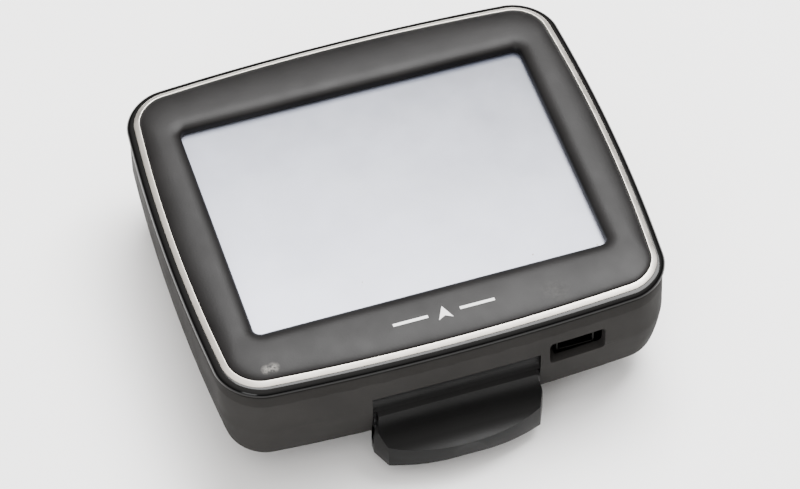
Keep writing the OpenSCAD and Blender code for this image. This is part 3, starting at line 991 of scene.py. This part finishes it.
@dataclass
class Front:
    """Bezel, bright ring, glossy rim and the satin frame behind them.

    Attributes:
        body: Outer outline of the housing.
        window: Edge of the opening in the bezel.
        ring_out: Outer edge of the bright ring, in from the outline.
        ring_in: Inner edge of the bright ring, in from the outline.
        skirt_z: Level below which only the bezel's narrow skirt goes.
        shoulder_z: Top of the bezel's edge beside the bright ring.
        rim_in: Inner edge of the glossy rim, in from the outline.
        rim_foot: Height at which its quarter round starts.
        rim_rise: Height of the quarter round.
        rim_shelf: Level of the shelf that carries the bright ring.
        mark_y: Place of the printed mark along Y.
        mark_lift: How far its face stands above the lacquer.
        mark_depth: Thickness of the print, most of it sunk in the lacquer.
    """

    body: Outline
    window: Outline
    ring_out: float = 1.42
    ring_in: float = 2.6
    skirt_z: float = 28.65
    shoulder_z: float = 29.72
    rim_in: float = 3.6
    rim_foot: float = 0.12
    rim_rise: float = 1.14
    rim_shelf: float = 28.6
    mark_y: float = -33.2
    mark_lift: float = 0.012
    mark_depth: float = 0.06

    def build(self) -> None:
        """Builds and dresses every piece of the front."""
        self.bezel()
        self.trim_ring()
        self.glossy_rim()
        self.front_frame()

    def bezel_ring(self, grow: float, share: float) -> np.ndarray:
        """Ring on the bezel's face.

        Args:
            grow: How much the window is grown first.
            share: How far the ring then goes towards the bright ring's inner edge.

        Returns:
            Points of X and Y.
        """
        edge = self.body.inset(self.ring_in + 0.1)
        grown = Outline(self.window.half_w + grow, self.window.half_h + grow, self.window.radius + grow,
                        0.0, self.window.centre_y)
        return grown.towards(edge, share).ring()

    def bezel(self) -> None:
        """Pillowed frame that rises from the bright ring to a crest near the opening."""
        low, high = corners("bezel")
        foot, crest = low[2], high[2]
        skirt, shoulder = self.skirt_z, self.shoulder_z
        section = [(4, 0.85, foot), (4, 0.85, skirt), (4, 1, skirt), (4, 1, shoulder),
                   (4, 0.985, shoulder + 0.12),
                   (4, 0.9, crest - 0.52), (4, 0.75, crest - 0.3), (4, 0.55, crest - 0.14),
                   (4, 0.35, crest - 0.05), (4, 0.15, crest - 0.01), (3.4, 0, crest - 0.01),
                   (2.4, 0, crest - 0.06), (1.6, 0, crest - 0.2), (0.95, 0, crest - 0.42),
                   (0.4, 0, crest - 0.75), (0.12, 0, crest - 1.2), (0.05, 0, foot + 0.25), (0.1, 0, foot)]
        line = soften(section, 0.35, 2)
        obj = frame_loft("lacquered_bezel", [self.bezel_ring(d, t) for d, t, _ in line], line[:, 2])
        dress(obj, BEZEL_LACQUER, "housing", "bezel", "bezel")
        self.mark(obj)

    def trim_ring(self) -> None:
        """Bright ring that leans outwards, with eased edges."""
        low, high = corners("trim_ring")
        out, inside = self.ring_out + 0.05, self.ring_in
        section = [(out, low[2]), (out, high[2] - 0.58), (out + 0.08, high[2] - 0.5),
                   (inside - 0.14, high[2] - 0.03), (inside - 0.02, high[2] - 0.1), (inside, low[2])]
        line = chamfer(section, 0.06, 2)
        obj = frame_loft("bright_ring", [self.body.inset(d).ring() for d, _ in line], line[:, 1])
        dress(obj, TRIM_PLATING, "housing", "trim_ring", "trim_ring")

    def glossy_rim(self) -> None:
        """Polished rim that turns over the edge of the housing."""
        low, _ = corners("glossy_rim")
        base = low[2]
        over, inner, shelf = self.ring_out, self.rim_in, self.rim_shelf
        turns = [math.radians(degrees) for degrees in range(0, 91, 6)]
        quarter = [(over - over * math.cos(turn), base + self.rim_foot + self.rim_rise * math.sin(turn))
                   for turn in turns]
        line = np.array([(0.4, base), (0.1, base + 0.02)] + quarter
                        + [(over, shelf), (inner, shelf), (inner, base)])
        obj = frame_loft("polished_rim", [self.body.inset(d).ring() for d, _ in line], line[:, 1])
        dress(obj, RIM_GLOSS, "housing", "glossy_rim", "glossy_rim")

    def front_frame(self) -> None:
        """Satin frame below the rim, with a shadow groove above and a fine seam below."""
        low, high = corners("front_frame")
        foot, top = low[2], high[2]
        seam = foot + 1.05
        section = [(2.2, foot), (2.2, seam), (0.5, seam), (0.36, seam + 0.14), (0.34, top - 0.7),
                   (0.95, top - 0.3), (0.95, top), (4.2, top), (4.2, foot)]
        line = chamfer(section, 0.12, 3)
        obj = frame_loft("satin_front_frame", [self.body.inset(d).ring() for d, _ in line], line[:, 1])
        dress(obj, FRAME_ABS, "housing", "front_frame", "front_frame")

    def mark(self, bezel: bpy.types.Object) -> None:
        """Plain printed mark: a small arrowhead between two dashes.

        Args:
            bezel: Bezel that the mark is laid on.
        """
        arrow = [[(0, 1.5), (-1.45, -1.5), (0, -0.75)], [(0, 1.5), (0, -0.75), (1.45, -1.5)]]
        dashes = [[(s * 3.2, -0.32), (s * 10.2, -0.32), (s * 10.2, 0.32), (s * 3.2, 0.32)] for s in (-1, 1)]
        surface = BVHTree.FromObject(bezel, bpy.context.evaluated_depsgraph_get())
        work = bmesh.new()
        for shape in arrow + dashes:
            verts = [work.verts.new((x * MM, (y + self.mark_y) * MM, 0)) for x, y in shape]
            work.faces.new(verts)
        bmesh.ops.remove_doubles(work, verts=work.verts, dist=1e-7)
        bmesh.ops.triangulate(work, faces=work.faces)
        bmesh.ops.subdivide_edges(work, edges=work.edges, cuts=5, use_grid_fill=True)
        for vert in work.verts:
            hit = surface.ray_cast(Vector((vert.co.x, vert.co.y, 0.05)), Vector((0, 0, -1)))[0]
            vert.co.z = hit.z + self.mark_lift * MM
        bmesh.ops.recalc_face_normals(work, faces=work.faces)
        for face in work.faces:
            if face.normal.z < 0:
                face.normal_flip()
        mesh = bpy.data.meshes.new("printed_arrow_mark")
        work.to_mesh(mesh)
        work.free()
        obj = bpy.data.objects.new("printed_arrow_mark", mesh)
        bpy.context.scene.collection.objects.link(obj)
        modifier = obj.modifiers.new("thickness", "SOLIDIFY")
        modifier.thickness = self.mark_depth * MM
        modifier.offset = -1
        settle(obj)
        dress(obj, MARK_INK, "housing", "bezel")


# ---- Rear shell ----------------------------------------------------------------------


@dataclass
class RearShell:
    """Tapered rear shell with its dish, finger scoop, hinge bay, port and grille.

    Attributes:
        body: Outer outline of the housing.
        wall: Wall thickness.
        crease: Level of the crease between side wall and taper.
        seam: Level of the seam with the front frame.
        dish_r: Radius of the round recess.
        dish_z: Level of the recess's floor.
        bay_half: Half width of scoop and hinge bay.
        scoop: Centre of the scoop's hollow in Y and Z, and its radius.
        pin: Place of the hinge pin in Y and Z.
        socket_r: Radius of the socket behind the arm's barrel.
        port: Centre of the port in X and Z, and its width and height.
        speaker: Centre of the grille.
        grille_pitch: Spacing of the grille's holes.
        grille_rings: Rings of holes about the middle one.
        hole_r: Radius of a hole.
        screw_at: Places of the four screws, each way from the middle.
        well: Radius and top of a screw's well.
        key_gap: Clearance round the power key.
    """

    body: Outline
    wall: float = 1.8
    crease: float = 15.7
    seam: float = 24.8
    dish_r: float = 29.0
    dish_z: float = 12.0
    bay_half: float = 17.0
    scoop: tuple[float, float, float] = (-42.45, 17.3, 2.65)
    pin: tuple[float, float] = HINGE_PIN
    socket_r: float = 3.8
    port: tuple[float, float, float, float] = (24.7, 18.8, 11.4, 5.7)
    speaker: tuple[float, float] = (-31.5, 25.0)
    grille_pitch: float = 2.9
    grille_rings: int = 2
    hole_r: float = 0.8
    screw_at: tuple[float, float] = (35.0, 35.4)
    well: tuple[float, float] = (2.5, 8.4)
    key_gap: float = 0.15

    def build(self) -> None:
        """Builds and dresses the shell."""
        back = corners("rear_shell")[0][2]
        skin = soften([(9.0, back), (4.9, back), (2.9, back + 0.35), (1.75, back + 1.5), (1.3, back + 3.2),
                       (0.75, 12.2), (0.3, self.crease), (0.24, self.crease + 1.0), (0.34, self.seam - 1.2),
                       (0.36, self.seam - 0.15), (0.5, self.seam)], 0.4, 4, closed=False)
        shell = solid_loft("rear_shell_moulding", [self.body.inset(d).ring() for d, _ in skin], skin[:, 1])
        carve(shell, [self.cavity(back)])
        carve(shell, self.openings(back))
        round_edges(shell, 0.22, 42)
        dress(shell, SHELL_ABS, "housing", "rear_shell", "rear_shell")
        self.paint_bay_shade(shell)

    def paint_bay_shade(self, shell: bpy.types.Object) -> None:
        """Paints shade into the hollows of the finger scoop and the hinge socket with a black material.

        Args:
            shell: Finished shell.
        """
        # Painted shade: faces in the scoop and socket hollows take the black material.
        shell.data.materials.append(BAY_PAINTED_SHADE.material())
        black = len(shell.data.materials) - 1
        edge = 0.12
        hollows = [self.scoop, (*self.pin, self.socket_r)]
        for face in shell.data.polygons:
            x, y, z = face.center / MM
            inside = any(math.hypot(y - cy, z - cz) < radius + edge for cy, cz, radius in hollows)
            if inside and abs(x) < self.bay_half + 0.1:
                face.material_index = black

    def cavity(self, back: float) -> bpy.types.Object:
        """Space inside the shell, less the walls round the dish and the hinge bay.

        Args:
            back: Level of the shell's back.

        Returns:
            Cutter for the space.
        """
        floor = back + self.wall
        rows = [(6.0, floor), (4.6, floor + 0.4), (2.9, 10.4), (2.1, self.crease), (2.1, self.seam + 1)]
        space = solid_loft("cavity", [self.body.inset(d).ring() for d, _ in rows], [z for _, z in rows])
        dish = turned("dish_wall", [(0.0, 0), (self.dish_r + self.wall, 0),
                                    (self.dish_r + self.wall, self.dish_z + 1.6), (0.0, self.dish_z + 1.6)])
        reach = self.bay_half + 3.5
        low = self.body.half_h
        behind = self.pin[0] + self.socket_r + self.wall
        top = self.pin[1] + self.socket_r + self.wall
        walls = [extruded("bay", [(-low, 0), (behind, 0), (behind, top), (-low, top)], -reach, reach, Axis.X)]
        behind, top = self.scoop[0] + self.scoop[2] + self.wall, self.scoop[1] + self.scoop[2] + self.wall
        walls.append(extruded("scoop_wall", [(-low, 0), (behind, 0), (behind, top), (-low, top)],
                              -reach, reach, Axis.X))
        return carve(space, [dish] + walls)

    def openings(self, back: float) -> list[bpy.types.Object]:
        """Everything that opens the shell from outside.

        Args:
            back: Level of the shell's back.

        Returns:
            The cutters.
        """
        half = self.bay_half
        dish = turned("dish", chamfer([(0.0, 0), (self.dish_r + 3, 0), (self.dish_r + 0.5, back - 0.1),
                                       (self.dish_r, back + 0.5), (self.dish_r, self.dish_z),
                                       (0.0, self.dish_z)], 0.001, 1), steps=128)
        scoop = extruded("scoop", circle(self.scoop[:2], self.scoop[2], 48), -half, half, Axis.X)
        socket = extruded("socket", circle(self.pin, self.socket_r, 64), -half, half, Axis.X)
        behind = self.pin[0] + self.socket_r
        notch = extruded("notch", [(-60, 0), (behind, 0), (behind, self.pin[1]), (-60, self.pin[1])],
                         -half, half, Axis.X)
        cutters = [dish, scoop, socket, notch, self.port_cutter(), self.key_slot()]
        across, along = self.screw_at
        well_r, well_top = self.well
        cutters += [turned("recess", [(0.0, 0), (well_r, 0), (well_r, well_top), (0.0, well_top)], (x, y), 40)
                    for x in (-across, across) for y in (-along, along)]
        return cutters + self.grille(back)

    def grille(self, back: float) -> list[bpy.types.Object]:
        """Holes of the speaker grille, laid out in a hexagon and eased at the mouth.

        Args:
            back: Level of the shell's back.

        Returns:
            A cutter for each hole.
        """
        rings, hole = self.grille_rings, self.hole_r
        profile = [(0.0, 0), (hole + 0.3, back - 0.05), (hole, back + 0.25), (hole, 9), (0.0, 9)]
        cutters = []
        for row in range(-rings, rings + 1):
            for i in range(2 * rings - abs(row) + 1):
                x = self.speaker[0] + self.grille_pitch * (i - rings + abs(row) / 2)
                y = self.speaker[1] + self.grille_pitch * row * math.sqrt(3) / 2
                cutters.append(turned("hole", profile, (x, y), 20))
        return cutters

    def port_cutter(self) -> bpy.types.Object:
        """Well of the charging port, with rounded corners and an eased mouth."""
        x, z, wide, high = self.port
        rows = [(-46.0, 0.45), (-41.15, 0.45), (-40.85, 0.12), (-40.6, 0.0), (-37.5, 0.0)]
        rings = [Outline(wide / 2 + grow, high / 2 + grow, 0.9 + grow, 0.0).ring() for _, grow in rows]
        return standing_loft("port", rings, [y for y, _ in rows], (x, z))

    def key_slot(self) -> bpy.types.Object:
        """Slot for the power key in the top wall."""
        low, high = corners("power_button")
        x, z = (low[0] + high[0]) / 2, (low[2] + high[2]) / 2
        half_w, half_h, radius = [size + self.key_gap for size in KEY_FACE]
        outline = Outline(half_w, half_h, radius, 0.0).ring() + [x, z]
        return extruded("key_slot", outline, 37, 46, Axis.Y)


# ---- Screen --------------------------------------------------------------------------


@dataclass
class Screen:
    """Touch panel behind the bezel.

    Attributes:
        film: Finish of the panel.
    """

    film: Finish = PANEL_FILM

    def build(self) -> None:
        """Builds the panel with rounded corners and an eased top edge."""
        low, high = corners("touch_panel")
        middle, half = (low + high) / 2, (high - low) / 2
        rows = [(0.0, low[2]), (0.0, high[2] - 0.15), (0.05, high[2] - 0.05), (0.15, high[2])]
        plates = [Outline(half[0] - d, half[1] - d, 1.2 - d, 0.0, middle[1]).ring() for d, _ in rows]
        panel = smooth(solid_loft("touch_panel_sheet", plates, [z for _, z in rows]), 12)
        dress(panel, self.film, "housing", "touch_panel", "touch_panel")


# ---- Suction mount -------------------------------------------------------------------


@dataclass
class SuctionMount:
    """Folding arm with its flared lip, twist dial, cap, and the cup with its stem.

    Attributes:
        pin: Place of the hinge pin in Y and Z.
        barrel_r: Radius of the hinge barrel.
        half: Half width of the arm at the seam.
        spread: How far the lip's sides spread below the seam.
        curve: Radius of the lip's front edge, seen from above.
        corner: Half width of the front edge.
        side: Half width of the lip just in front of the seam.
        foot: Half width of the lip's foot, where it comes out from under the shell.
        flare: Centre in Y and Z of the lip's hollow, and its radius.
        plate_r: Radius of the arm's round plate.
        plate_z: Lower and upper level of the plate.
        neck_z: Lower level of the neck between plate and lip.
        foot_top: Upper level of the lip's foot.
        hub: Radius and top of the plate's hub.
        stem_r: Radius of the bore for the cup's stem.
        grips: Scallops round the dial.
    """

    pin: tuple[float, float] = HINGE_PIN
    barrel_r: float = 3.55
    half: float = 16.1
    spread: float = 1.9
    curve: float = 38.0
    corner: float = 15.5
    side: float = 17.3
    foot: float = 17.2
    flare: tuple[float, float, float] = (-48.75, 15.9, 7.4)
    plate_r: float = 27.0
    plate_z: tuple[float, float] = (2.4, 6.0)
    neck_z: float = 3.4
    foot_top: float = 6.2
    hub: tuple[float, float] = (11.5, 7.2)
    stem_r: float = 3.2
    grips: int = 24

    def build(self) -> None:
        """Builds and dresses the mount."""
        self.arm()
        self.dial()
        self.cup()

    def lip(self) -> bpy.types.Object:
        """Barrel and lip: three flat views made solid and trimmed by each other."""
        low = corners("mount_arm")[0]
        front, wide = low[1], self.half + self.spread
        hollow = arc(self.flare[:2], self.flare[2], -90.4, -11.5, 28)
        section = [(self.pin[0] + self.barrel_r, self.pin[1]), (self.pin[0] + self.barrel_r, 3.4),
                   (-45.5, 3.5), (front + 0.9, 4.2), (front + 0.25, 4.6), (front, 8.3)] + hollow
        section += arc(self.pin, self.barrel_r, 134, 6, 20)
        body = extruded("arm_lip", section, -wide - 1, wide + 1, Axis.X)
        sweep = math.degrees(math.asin(self.corner / self.curve))
        plan = [(self.half, self.pin[0] + self.barrel_r + 1), (-self.half, self.pin[0] + self.barrel_r + 1),
                (-self.half, -41.2), (-self.side, -41.5)]
        plan += arc((0, front + self.curve), self.curve, 270 - sweep, 270 + sweep, 36)
        plan += [(self.side, -41.5), (self.half, -41.2)]
        view = [(-wide, 2), (-wide, 5.2), (-self.half, 14), (-self.half, 20), (self.half, 20),
                (self.half, 14), (wide, 5.2), (wide, 2)]
        carve(body, [extruded("plan", plan, 0, 20, Axis.Z), extruded("view", view, -52, -30, Axis.Y)],
              Carve.TRIM)
        return body

    def arm(self) -> None:
        """Arm plate with its recess for the dial, joined to the lip."""
        arm = self.lip()
        low, high = corners("twist_dial")
        dial_r = (high[0] - low[0]) / 2
        plate_low, plate_top = self.plate_z
        hub_r, hub_top = self.hub
        plate = turned("plate", [(self.stem_r, plate_low), (self.plate_r, plate_low),
                                 (self.plate_r, plate_top), (hub_r, plate_top), (hub_r, hub_top),
                                 (self.stem_r, hub_top)])
        neck = extruded("neck", [(-self.half, self.pin[0]), (-17, -20), (17, -20), (self.half, self.pin[0])],
                        self.neck_z, plate_top, Axis.Z)
        foot = extruded("foot", [(-self.half, -37), (-self.foot + 0.4, -38.6), (-self.foot, -39.8),
                                 (-self.side, -41.5), (-self.half, -44), (self.half, -44),
                                 (self.side, -41.5), (self.foot, -39.8), (self.foot - 0.4, -38.6),
                                 (self.half, -37)], self.neck_z, self.foot_top, Axis.Z)
        carve(arm, [neck, foot, plate], Carve.JOIN)
        recess = turned("recess", [(0.0, 0), (dial_r + 0.4, 0), (dial_r + 0.4, 4.6), (9.9, 4.6),
                                   (9.9, plate_top), (self.stem_r, plate_top), (self.stem_r, 8), (0.0, 8)])
        bore = extruded("bore", circle(self.pin, 1.03, 32), -self.half - 3, self.half + 3, Axis.X)
        carve(arm, [recess, bore])
        round_edges(arm, 0.3, 34, 3)
        dress(arm, ARM_ABS, "mount_arm", "arm", "mount_arm")

    def dial(self) -> None:
        """Twist dial with a scalloped grip, and its cap."""
        low, high = corners("twist_dial")
        radius = (high[0] - low[0]) / 2
        dial = turned("twist_dial_ring",
                      chamfer([(3.3, 5.2), (8.3, 5.2), (8.3, 0.9), (12.1, 0.9), (12.1, 0), (radius - 0.7, 0),
                               (radius, 0.7), (radius, 4.4), (9.5, 4.4), (9.5, 5.9), (3.3, 5.9)], 0.2, 2),
                      steps=144)
        turns = [2 * math.pi * i / self.grips for i in range(self.grips)]
        reach = radius + 0.4
        scallops = [turned("scallop", [(0.0, 0.75), (0.9, 0.75), (0.9, 2.1), (0.0, 2.1)],
                           (reach * math.cos(turn), reach * math.sin(turn)), 16) for turn in turns]
        carve(dial, scallops)
        smooth(dial)
        dress(dial, DIAL_ABS, "twist_dial", "dial", "twist_dial")
        disc = [(0.0, 0.1), (11.7, 0.1), (12.0, 0.35), (12.0, 0.9), (0.0, 0.9)]
        cap = turned("dial_cap_disc", chamfer(disc, 0.001, 1))
        dress(cap, CAP_ABS, "twist_dial", "dial_cap", "dial_cap")

    def cup(self) -> None:
        """Suction cup with a thin rim, moulded rings on its back and a pull tab."""
        radius = corners("suction_cup")[1][0]
        cup = turned("suction_cup_moulding",
                     [(3.0, 8.85), (9.8, 8.85), (12, 9.3), (13, 9.55), (14, 9.5), (20, 10.35),
                      (21, 10.55), (22, 10.5), (radius - 0.2, 11.12), (radius, 11.25), (radius, 11.42),
                      (radius - 0.15, 11.5), (22, 11.12), (12, 10.8), (7.0, 10.7), (7.0, 9.4), (3.0, 9.4)],
                     steps=144)
        tab = extruded("tab", chamfer([(-4, radius - 1.5), (4, radius - 1.5), (4, radius + 1.5),
                                       (-4, radius + 1.5)], 1.2, 6), 10.65, 11.25, Axis.Z)
        carve(cup, [tab], Carve.JOIN)
        smooth(cup)
        dress(cup, CUP_RUBBER, "cup_stem", "cup_rubber", "suction_cup")


# ---- Power key -----------------------------------------------------------------------


@dataclass
class PowerKey:
    """Oblong key in the top wall, with a domed face, flange and push rod.

    Attributes:
        flange: Half width, half height and corner radius of the flange.
        flange_y: Inner and outer face of the flange.
        rod_r: Radius of the push rod.
    """

    flange: tuple[float, float, float] = (6.5, 2.9, 1.0)
    flange_y: tuple[float, float] = (38.0, 38.7)
    rod_r: float = 1.2

    def build(self) -> None:
        """Builds and dresses the key."""
        low, high = corners("power_button")
        x, z = (low[0] + high[0]) / 2, (low[2] + high[2]) / 2
        half_w, half_h, radius = KEY_FACE
        inner, outer = self.flange_y
        rows = [(low[1] + 0.25, 0.0), (outer, 0.0), (high[1] - 0.5, 0.0), (high[1] - 0.22, 0.06),
                (high[1] - 0.06, 0.3), (high[1], 0.9)]
        rings = [Outline(half_w - d, half_h - d, radius - min(d, 1.2), 0.0).ring() for _, d in rows]
        key = standing_loft("power_key", rings, [y for y, _ in rows], (x, z))
        flange = extruded("flange", Outline(*self.flange, 0.0).ring() + [x, z], inner, outer, Axis.Y)
        rod = extruded("rod", circle((x, z), self.rod_r, 24), 37.75, 38.4, Axis.Y)
        carve(key, [flange, rod], Carve.JOIN)
        smooth(key)
        dress(key, CAP_ABS, "power_button", "button", "power_button")


# ---- Inner pieces --------------------------------------------------------------------


@dataclass
class Inside:
    """Finishes of the inner pieces, whose CAD shapes are kept."""

    finishes: dict[str, Finish] = field(default_factory=lambda: {
        # Seals of cell foam: dull black and porous.
        "screen_gasket": FOAM,
        "speaker_gasket": FOAM,
        # Cell glass: grey, smooth and faintly blue, with a sharp reflection.
        "lcd_cell": MouldedPlastic("polished_cell_glass", "#5c636b", "#666d75", 0.08, 2.0, 0.0005, 0.6),
        # Diffuser film: flat white with a soft sheen.
        "backlight_unit": MouldedPlastic("white_diffuser_film", "#e4e5e0", "#dcdcd6", 0.5, 0.15, 0.003),
        # Stamped stainless steel: fine rolling lines.
        "display_tray": Metal("stamped_stainless_steel", "#b4b5b6", 0.34, 0.3, 0.003),
        # Solder mask: semi-gloss green, with paler traces and gold pads.
        "main_board": BoardMask("green_solder_mask", "#16452b", "#1f6a40", "#c9b877"),
        # Moulded epoxy: dull black with a fine sparkle.
        "processor": MouldedPlastic("moulded_black_epoxy", "#19191a", "#222223", 0.55, 0.2, 0.008),
        # The same epoxy in grey: dull, a shade paler than the processor.
        "memory_chips": MouldedPlastic("moulded_grey_epoxy", "#202022", "#2a2a2c", 0.55, 0.2, 0.008),
        # Tinned steel: bright and smooth, with blurred reflections.
        "radio_shield": Metal("tinned_steel_shield", "#c2c3c4", 0.3, 0.25, 0.002),
        # Dull dark metal in the port: near-black, with a soft edge of light.
        "usb_socket": Metal("dull_nickel_socket", "#1d1d1c", 0.5, 0.2, 0.002),
        # Fired ceramic: chalky, cream, finely pitted.
        "gps_antenna": MouldedPlastic("fired_ceramic", "#cbb78c", "#bda97f", 0.6, 0.3, 0.01),
        # White adhesive foam: matt and finely porous.
        "antenna_pad": SoftRubber("white_adhesive_foam", "#dddcd6", "#e8e7e2", 0.8, 0.2, 0.03),
        # Cream adhesive foam: matt and finely porous.
        "battery_pad": SoftRubber("cream_adhesive_foam", "#d8d6cb", "#e2e0d6", 0.8, 0.2, 0.03),
        # Ivory nylon: pale, warm and satin.
        "power_switch": MouldedPlastic("ivory_switch_nylon", "#d2d0c6", "#c8c6bb", 0.45),
        # Foil pouch in a printed wrap: creased and semi-gloss.
        "battery": MouldedPlastic("creased_foil_wrap", "#3c5a86", "#4a689a", 0.28, 2.4, 0.05, 0.3),
        # Red wire insulation: bright, plain and satin.
        "battery_leads": SoftRubber("red_wire_insulation", "#9d1f19", "#ab2b24", 0.4, 0.4, 0.005),
        # Coated paper cone: fibrous and dull.
        "speaker": MouldedPlastic("coated_paper_cone", "#242426", "#2e2e30", 0.7, 0.35, 0.02),
        # Black acoustic cloth: fuzzy and light-absorbing.
        "speaker_mesh": SoftRubber("black_acoustic_cloth", "#0d0d0e", "#151516", 0.9, 0.3, 0.05, 0.4),
        # Polyimide film: amber and glossy.
        "lcd_flex": MouldedPlastic("amber_polyimide_film", "#a9661f", "#b8752c", 0.25, 0.8, 0.004, 0.3),
        "touch_flex": MouldedPlastic("amber_polyimide_film", "#a9661f", "#b8752c", 0.25, 0.8, 0.004, 0.3),
        # Black zinc: dark metal with a dull bloom.
        "housing_screws": Metal("black_zinc_steel", "#5a5b5e", 0.42, 0.15, 0.002),
        # Bright zinc: pale metal with blurred reflections.
        "board_screws": Metal("bright_zinc_steel", "#b0b2b4", 0.35, 0.15, 0.002),
        # Ground steel: bright metal with fine lines.
        "hinge_pin": Metal("ground_steel_pin", "#a4a6a8", 0.25, 0.1, 0.001),
        "cross_pin": Metal("ground_steel_cross_pin", "#a4a6a8", 0.25, 0.1, 0.001),
        # Black acetal: satin and near-black, so it stays hidden at the seam.
        "friction_washers": MouldedPlastic("black_acetal", "#0d0d0e", "#121213", 0.35),
        # Natural acetal: milky white and satin.
        "cup_stem": MouldedPlastic("natural_acetal", "#c8c7bf", "#bfbeb5", 0.4),
    })

    def build(self) -> None:
        """Gives each kept CAD node its finish."""
        for node, finish in self.finishes.items():
            refinish(node, finish)


# ---- Studio --------------------------------------------------------------------------


@dataclass(frozen=True)
class Softbox:
    """An area light.

    Attributes:
        name: Name of the light.
        place: Where it stands, in metres.
        aim: What it faces, in metres.
        size: Its width and height in metres.
        watts: Its power.
    """

    name: str
    place: tuple[float, float, float]
    aim: tuple[float, float, float]
    size: tuple[float, float]
    watts: float

    def build(self) -> None:
        """Adds the light."""
        data = bpy.data.lights.new(self.name, "AREA")
        data.shape = "RECTANGLE"
        data.size, data.size_y = self.size
        data.energy = self.watts
        light = bpy.data.objects.new(self.name, data)
        bpy.context.scene.collection.objects.link(light)
        direction = Vector(self.aim) - Vector(self.place)
        light.location = self.place
        light.rotation_euler = direction.to_track_quat("-Z", "Y").to_euler()


@dataclass
class Studio:
    """White sweep, soft lights and the camera.

    Attributes:
        azimuth: Camera's turn from straight below the screen, in degrees.
        elevation: Camera's height angle, in degrees.
        roll: Turn of the camera about its own axis, in degrees.
        distance: Camera's distance from the point that it faces, in millimetres.
        aim: Point that it faces, in millimetres.
        lens: Focal length on a 36 mm wide sensor.
        horizon: Brightness of the surroundings at eye level.
        zenith: Brightness of the surroundings overhead.
        card_size: Side of the white card in millimetres.
        card_z: Level of the card, just clear of the object's lowest face.
        lights: Softboxes.
    """

    azimuth: float = -16.373
    elevation: float = 51.09
    roll: float = -1.731
    distance: float = 742.9
    aim: tuple[float, float, float] = (-1.05, -8.42, 22.39)
    lens: float = 170.27
    horizon: float = 0.15
    zenith: float = 2.2
    card_size: float = 2500.0
    card_z: float = -0.05
    lights: tuple[Softbox, ...] = (
        Softbox("overhead_softbox", (0.3, 0.3, 0.92), (0, 0, 0), (0.8, 0.6), 30.0),
        Softbox("left_softbox", (-0.75, -0.8, 0.45), (0, 0, 0.02), (0.5, 0.5), 5.0),
    )

    def build(self) -> None:
        """Adds floor, surroundings, lights and camera."""
        self.floor()
        self.surroundings()
        for light in self.lights:
            light.build()
        self.camera()

    def floor(self) -> None:
        """White card that the object lies on."""
        half = self.card_size / 2
        places = [(-half, -half, self.card_z), (half, -half, self.card_z), (half, half, self.card_z),
                  (-half, half, self.card_z)]
        obj = make_object("white_card", np.array(places), [(0, 1, 2, 3)])
        shader = Shader("white_card_stock", {"Roughness": 0.7, "IOR": 1.45})
        shader.feed("Base Color", shader.tint(shader.noise(30, 3), "#ffffff", "#fcfcfc"))
        obj.data.materials.append(shader.material)

    def surroundings(self) -> None:
        """White tent, brightest overhead and dim towards the horizon."""
        world = bpy.data.worlds.new("white_tent")
        world.use_nodes = True
        tree = world.node_tree
        place = add_node(tree, "ShaderNodeTexCoord").outputs["Generated"]
        height = add_node(tree, "ShaderNodeSeparateXYZ", {"Vector": place}).outputs["Z"]
        level = add_node(tree, "ShaderNodeMapRange",
                         {"Value": height, "From Min": 0.3, "From Max": 0.9, "To Min": self.horizon,
                          "To Max": self.zenith}).outputs["Result"]
        background = tree.nodes["Background"]
        background.inputs["Color"].default_value = linear("#fffcf9")
        tree.links.new(level, background.inputs["Strength"])
        bpy.context.scene.world = world

    def camera(self) -> None:
        """Long lens set by its angles about the point that it faces."""
        turn, lift = math.radians(self.azimuth), math.radians(self.elevation)
        away = Vector((math.sin(turn) * math.cos(lift), -math.cos(turn) * math.cos(lift), math.sin(lift)))
        right = Vector((0, 0, 1)).cross(away).normalized()
        up = away.cross(right)
        spin = math.radians(self.roll)
        right, up = (right * math.cos(spin) + up * math.sin(spin),
                     up * math.cos(spin) - right * math.sin(spin))
        data = bpy.data.cameras.new("long_lens")
        data.lens = self.lens
        data.sensor_width = 36.0
        data.clip_start, data.clip_end = 0.01, 20.0
        camera = bpy.data.objects.new("long_lens", data)
        bpy.context.scene.collection.objects.link(camera)
        place = Vector(self.aim) * MM + away * self.distance * MM
        axes = Matrix((right, up, away)).transposed().to_4x4()
        camera.matrix_world = Matrix.Translation(place) @ axes
        bpy.context.scene.camera = camera


def main() -> None:
    """Builds every sub-assembly in order."""
    logging.basicConfig(level=logging.INFO, format="%(name)s %(message)s")
    half_w, half_h, _ = corners("glossy_rim")[1]
    body = Outline(half_w, half_h, radius=8.5, bow=2.0)
    window = Outline(half_w=35.5, half_h=26.75, radius=1.4, bow=0.0, centre_y=0.46)
    Front(body, window).build()
    RearShell(body).build()
    Screen().build()
    SuctionMount().build()
    PowerKey().build()
    Inside().build()
    Studio().build()


if __name__ == "__main__":
    main()
